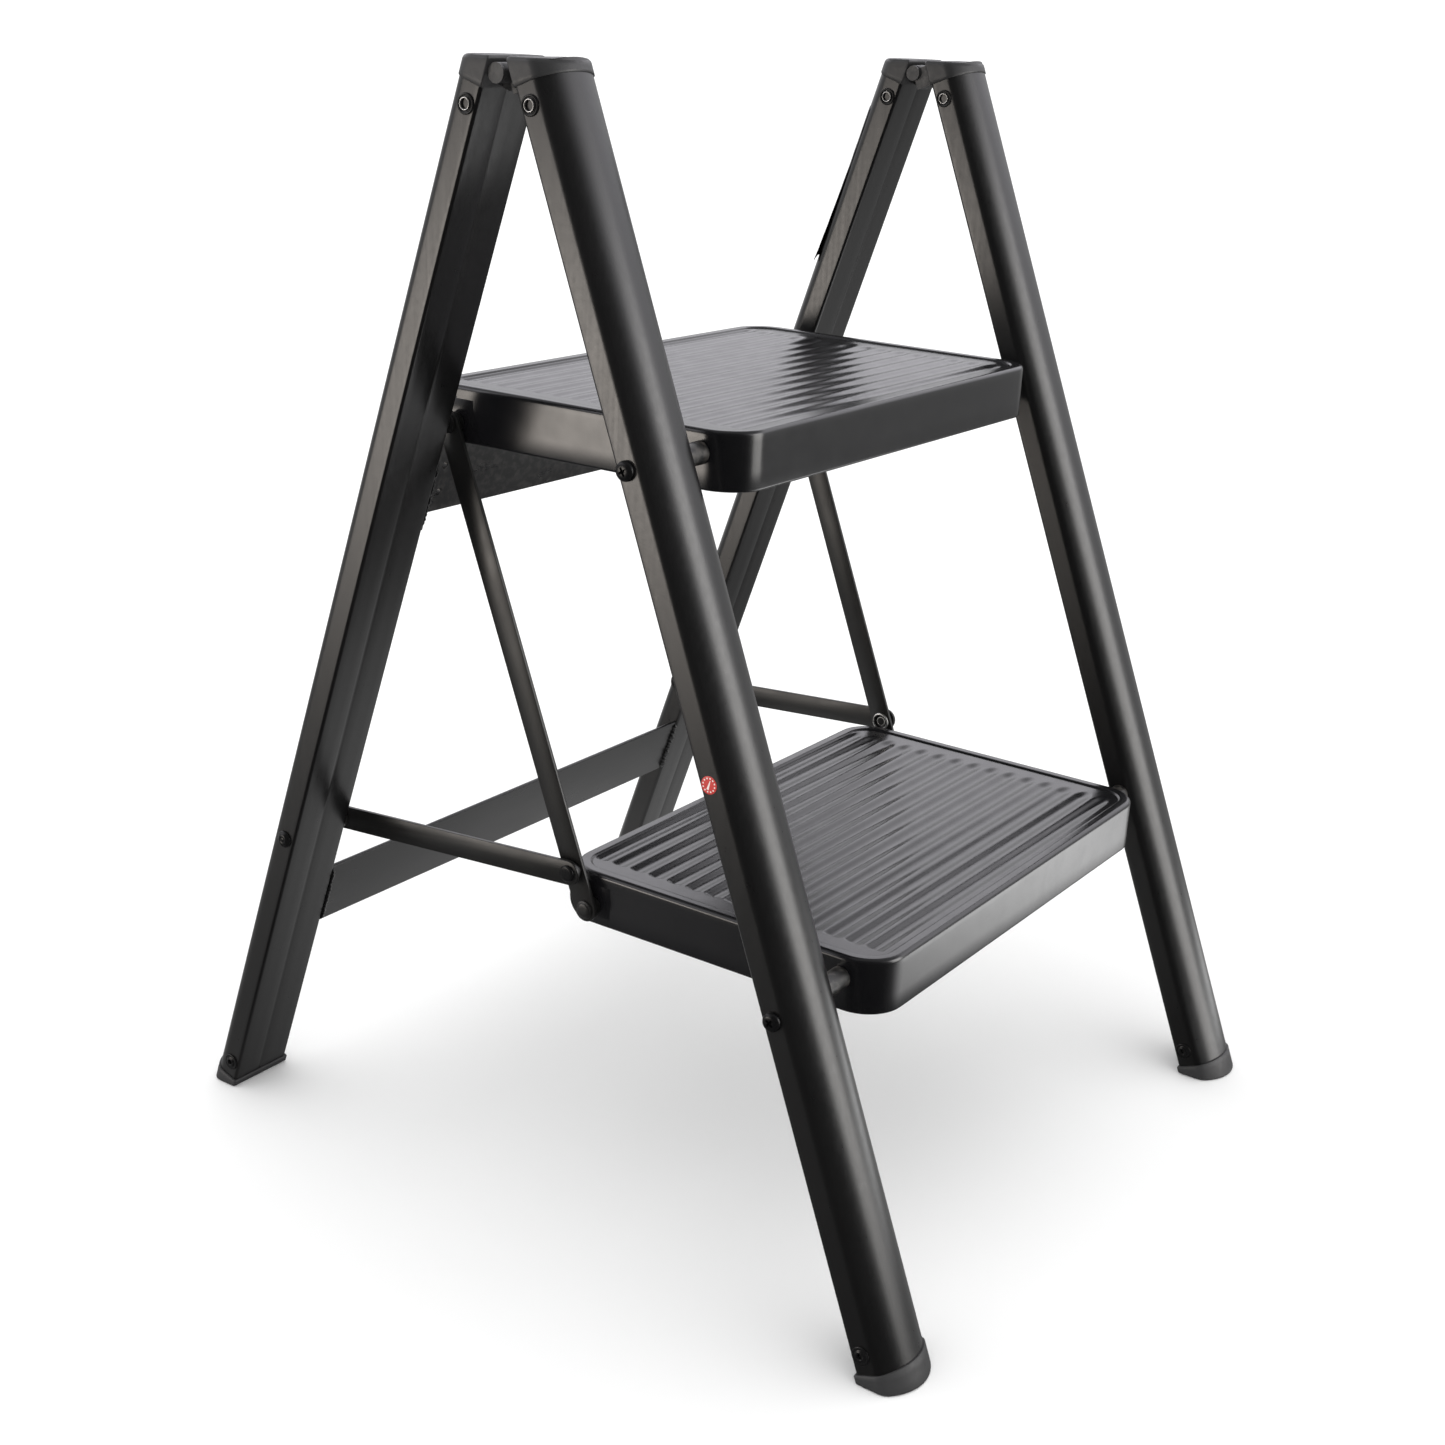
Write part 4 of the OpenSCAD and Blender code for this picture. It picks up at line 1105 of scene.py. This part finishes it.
def studio():
    """Soft room that shows in gloss, white floor, one box light and panels that only gloss sees."""
    scene = bpy.context.scene
    world = bpy.data.worlds.new("studio")
    world.use_nodes = True
    tree = world.node_tree
    bg = tree.nodes["Background"]
    tc = tree.nodes.new("ShaderNodeTexCoord")
    sep = tree.nodes.new("ShaderNodeSeparateXYZ")
    tree.links.new(tc.outputs["Generated"], sep.inputs[0])
    x, y, z = sep.outputs["X"], sep.outputs["Y"], sep.outputs["Z"]
    # the room that shows in gloss: dark round the camera, bright behind the object and overhead
    toward = calc(tree, "ADD", calc(tree, "MULTIPLY", x, TO_CAMERA[0]),
                  calc(tree, "MULTIPLY", y, TO_CAMERA[1]))
    toward = calc(tree, "MULTIPLY", calc(tree, "ADD", toward, 1.0), 0.5)
    dark_side = ramp(tree, toward, [(0.0, (1, 1, 1)), (0.60, (1, 1, 1)), (0.80, (0.025, 0.025, 0.025))])
    height = calc(tree, "MULTIPLY", calc(tree, "ADD", z, 1.0), 0.5)
    level = ramp(tree, height, ROOM_BY_HEIGHT)
    product = tree.nodes.new("ShaderNodeVectorMath")
    product.operation = "MULTIPLY"
    tree.links.new(dark_side, product.inputs[0])
    tree.links.new(level, product.inputs[1])
    light_path = tree.nodes.new("ShaderNodeLightPath")
    mixed = blend_colour(tree, light_path.outputs["Is Glossy Ray"], AMBIENT, product.outputs[0])
    tree.links.new(mixed, bg.inputs["Color"])
    bg.inputs["Strength"].default_value = 1.0
    scene.world = world

    bm = bmesh.new()
    bmesh.ops.create_grid(bm, x_segments=4, y_segments=4, size=30)
    floor = linked("floor", bm)
    mat, _, bsdf = new_material("floor")
    bsdf.inputs["Base Color"].default_value = (1, 1, 1, 1)
    bsdf.inputs["Roughness"].default_value = 0.9
    bsdf.inputs["Specular IOR Level"].default_value = 0.0
    floor.data.materials.append(mat)
    floor.location.z = -0.0004
    floor.visible_glossy = False

    box_light("front_right_box", (0.85, -2.15, 0.75), (0, 0, 0.4), 1.25, 1.7, 34, (1, 0.98, 0.95))
    soft_panel("back_left_low", (-2.5, 1.65, 0.1), (-0.2, 0, 0.6), 2.0, 1.2, 9.0, (1, 0.92, 0.84))
    soft_panel("floor_glow", (0.52, -0.58, 0.006), (0.52, -0.58, 1.0), 1.15, 0.6, 4.3)
    soft_panel("floor_glow_below", (0.16, 0.16, 0.004), (0.16, 0.16, 1.0), 1.0, 0.8, 0.65)


studio()
bpy.context.scene.view_settings.view_transform = "Standard"
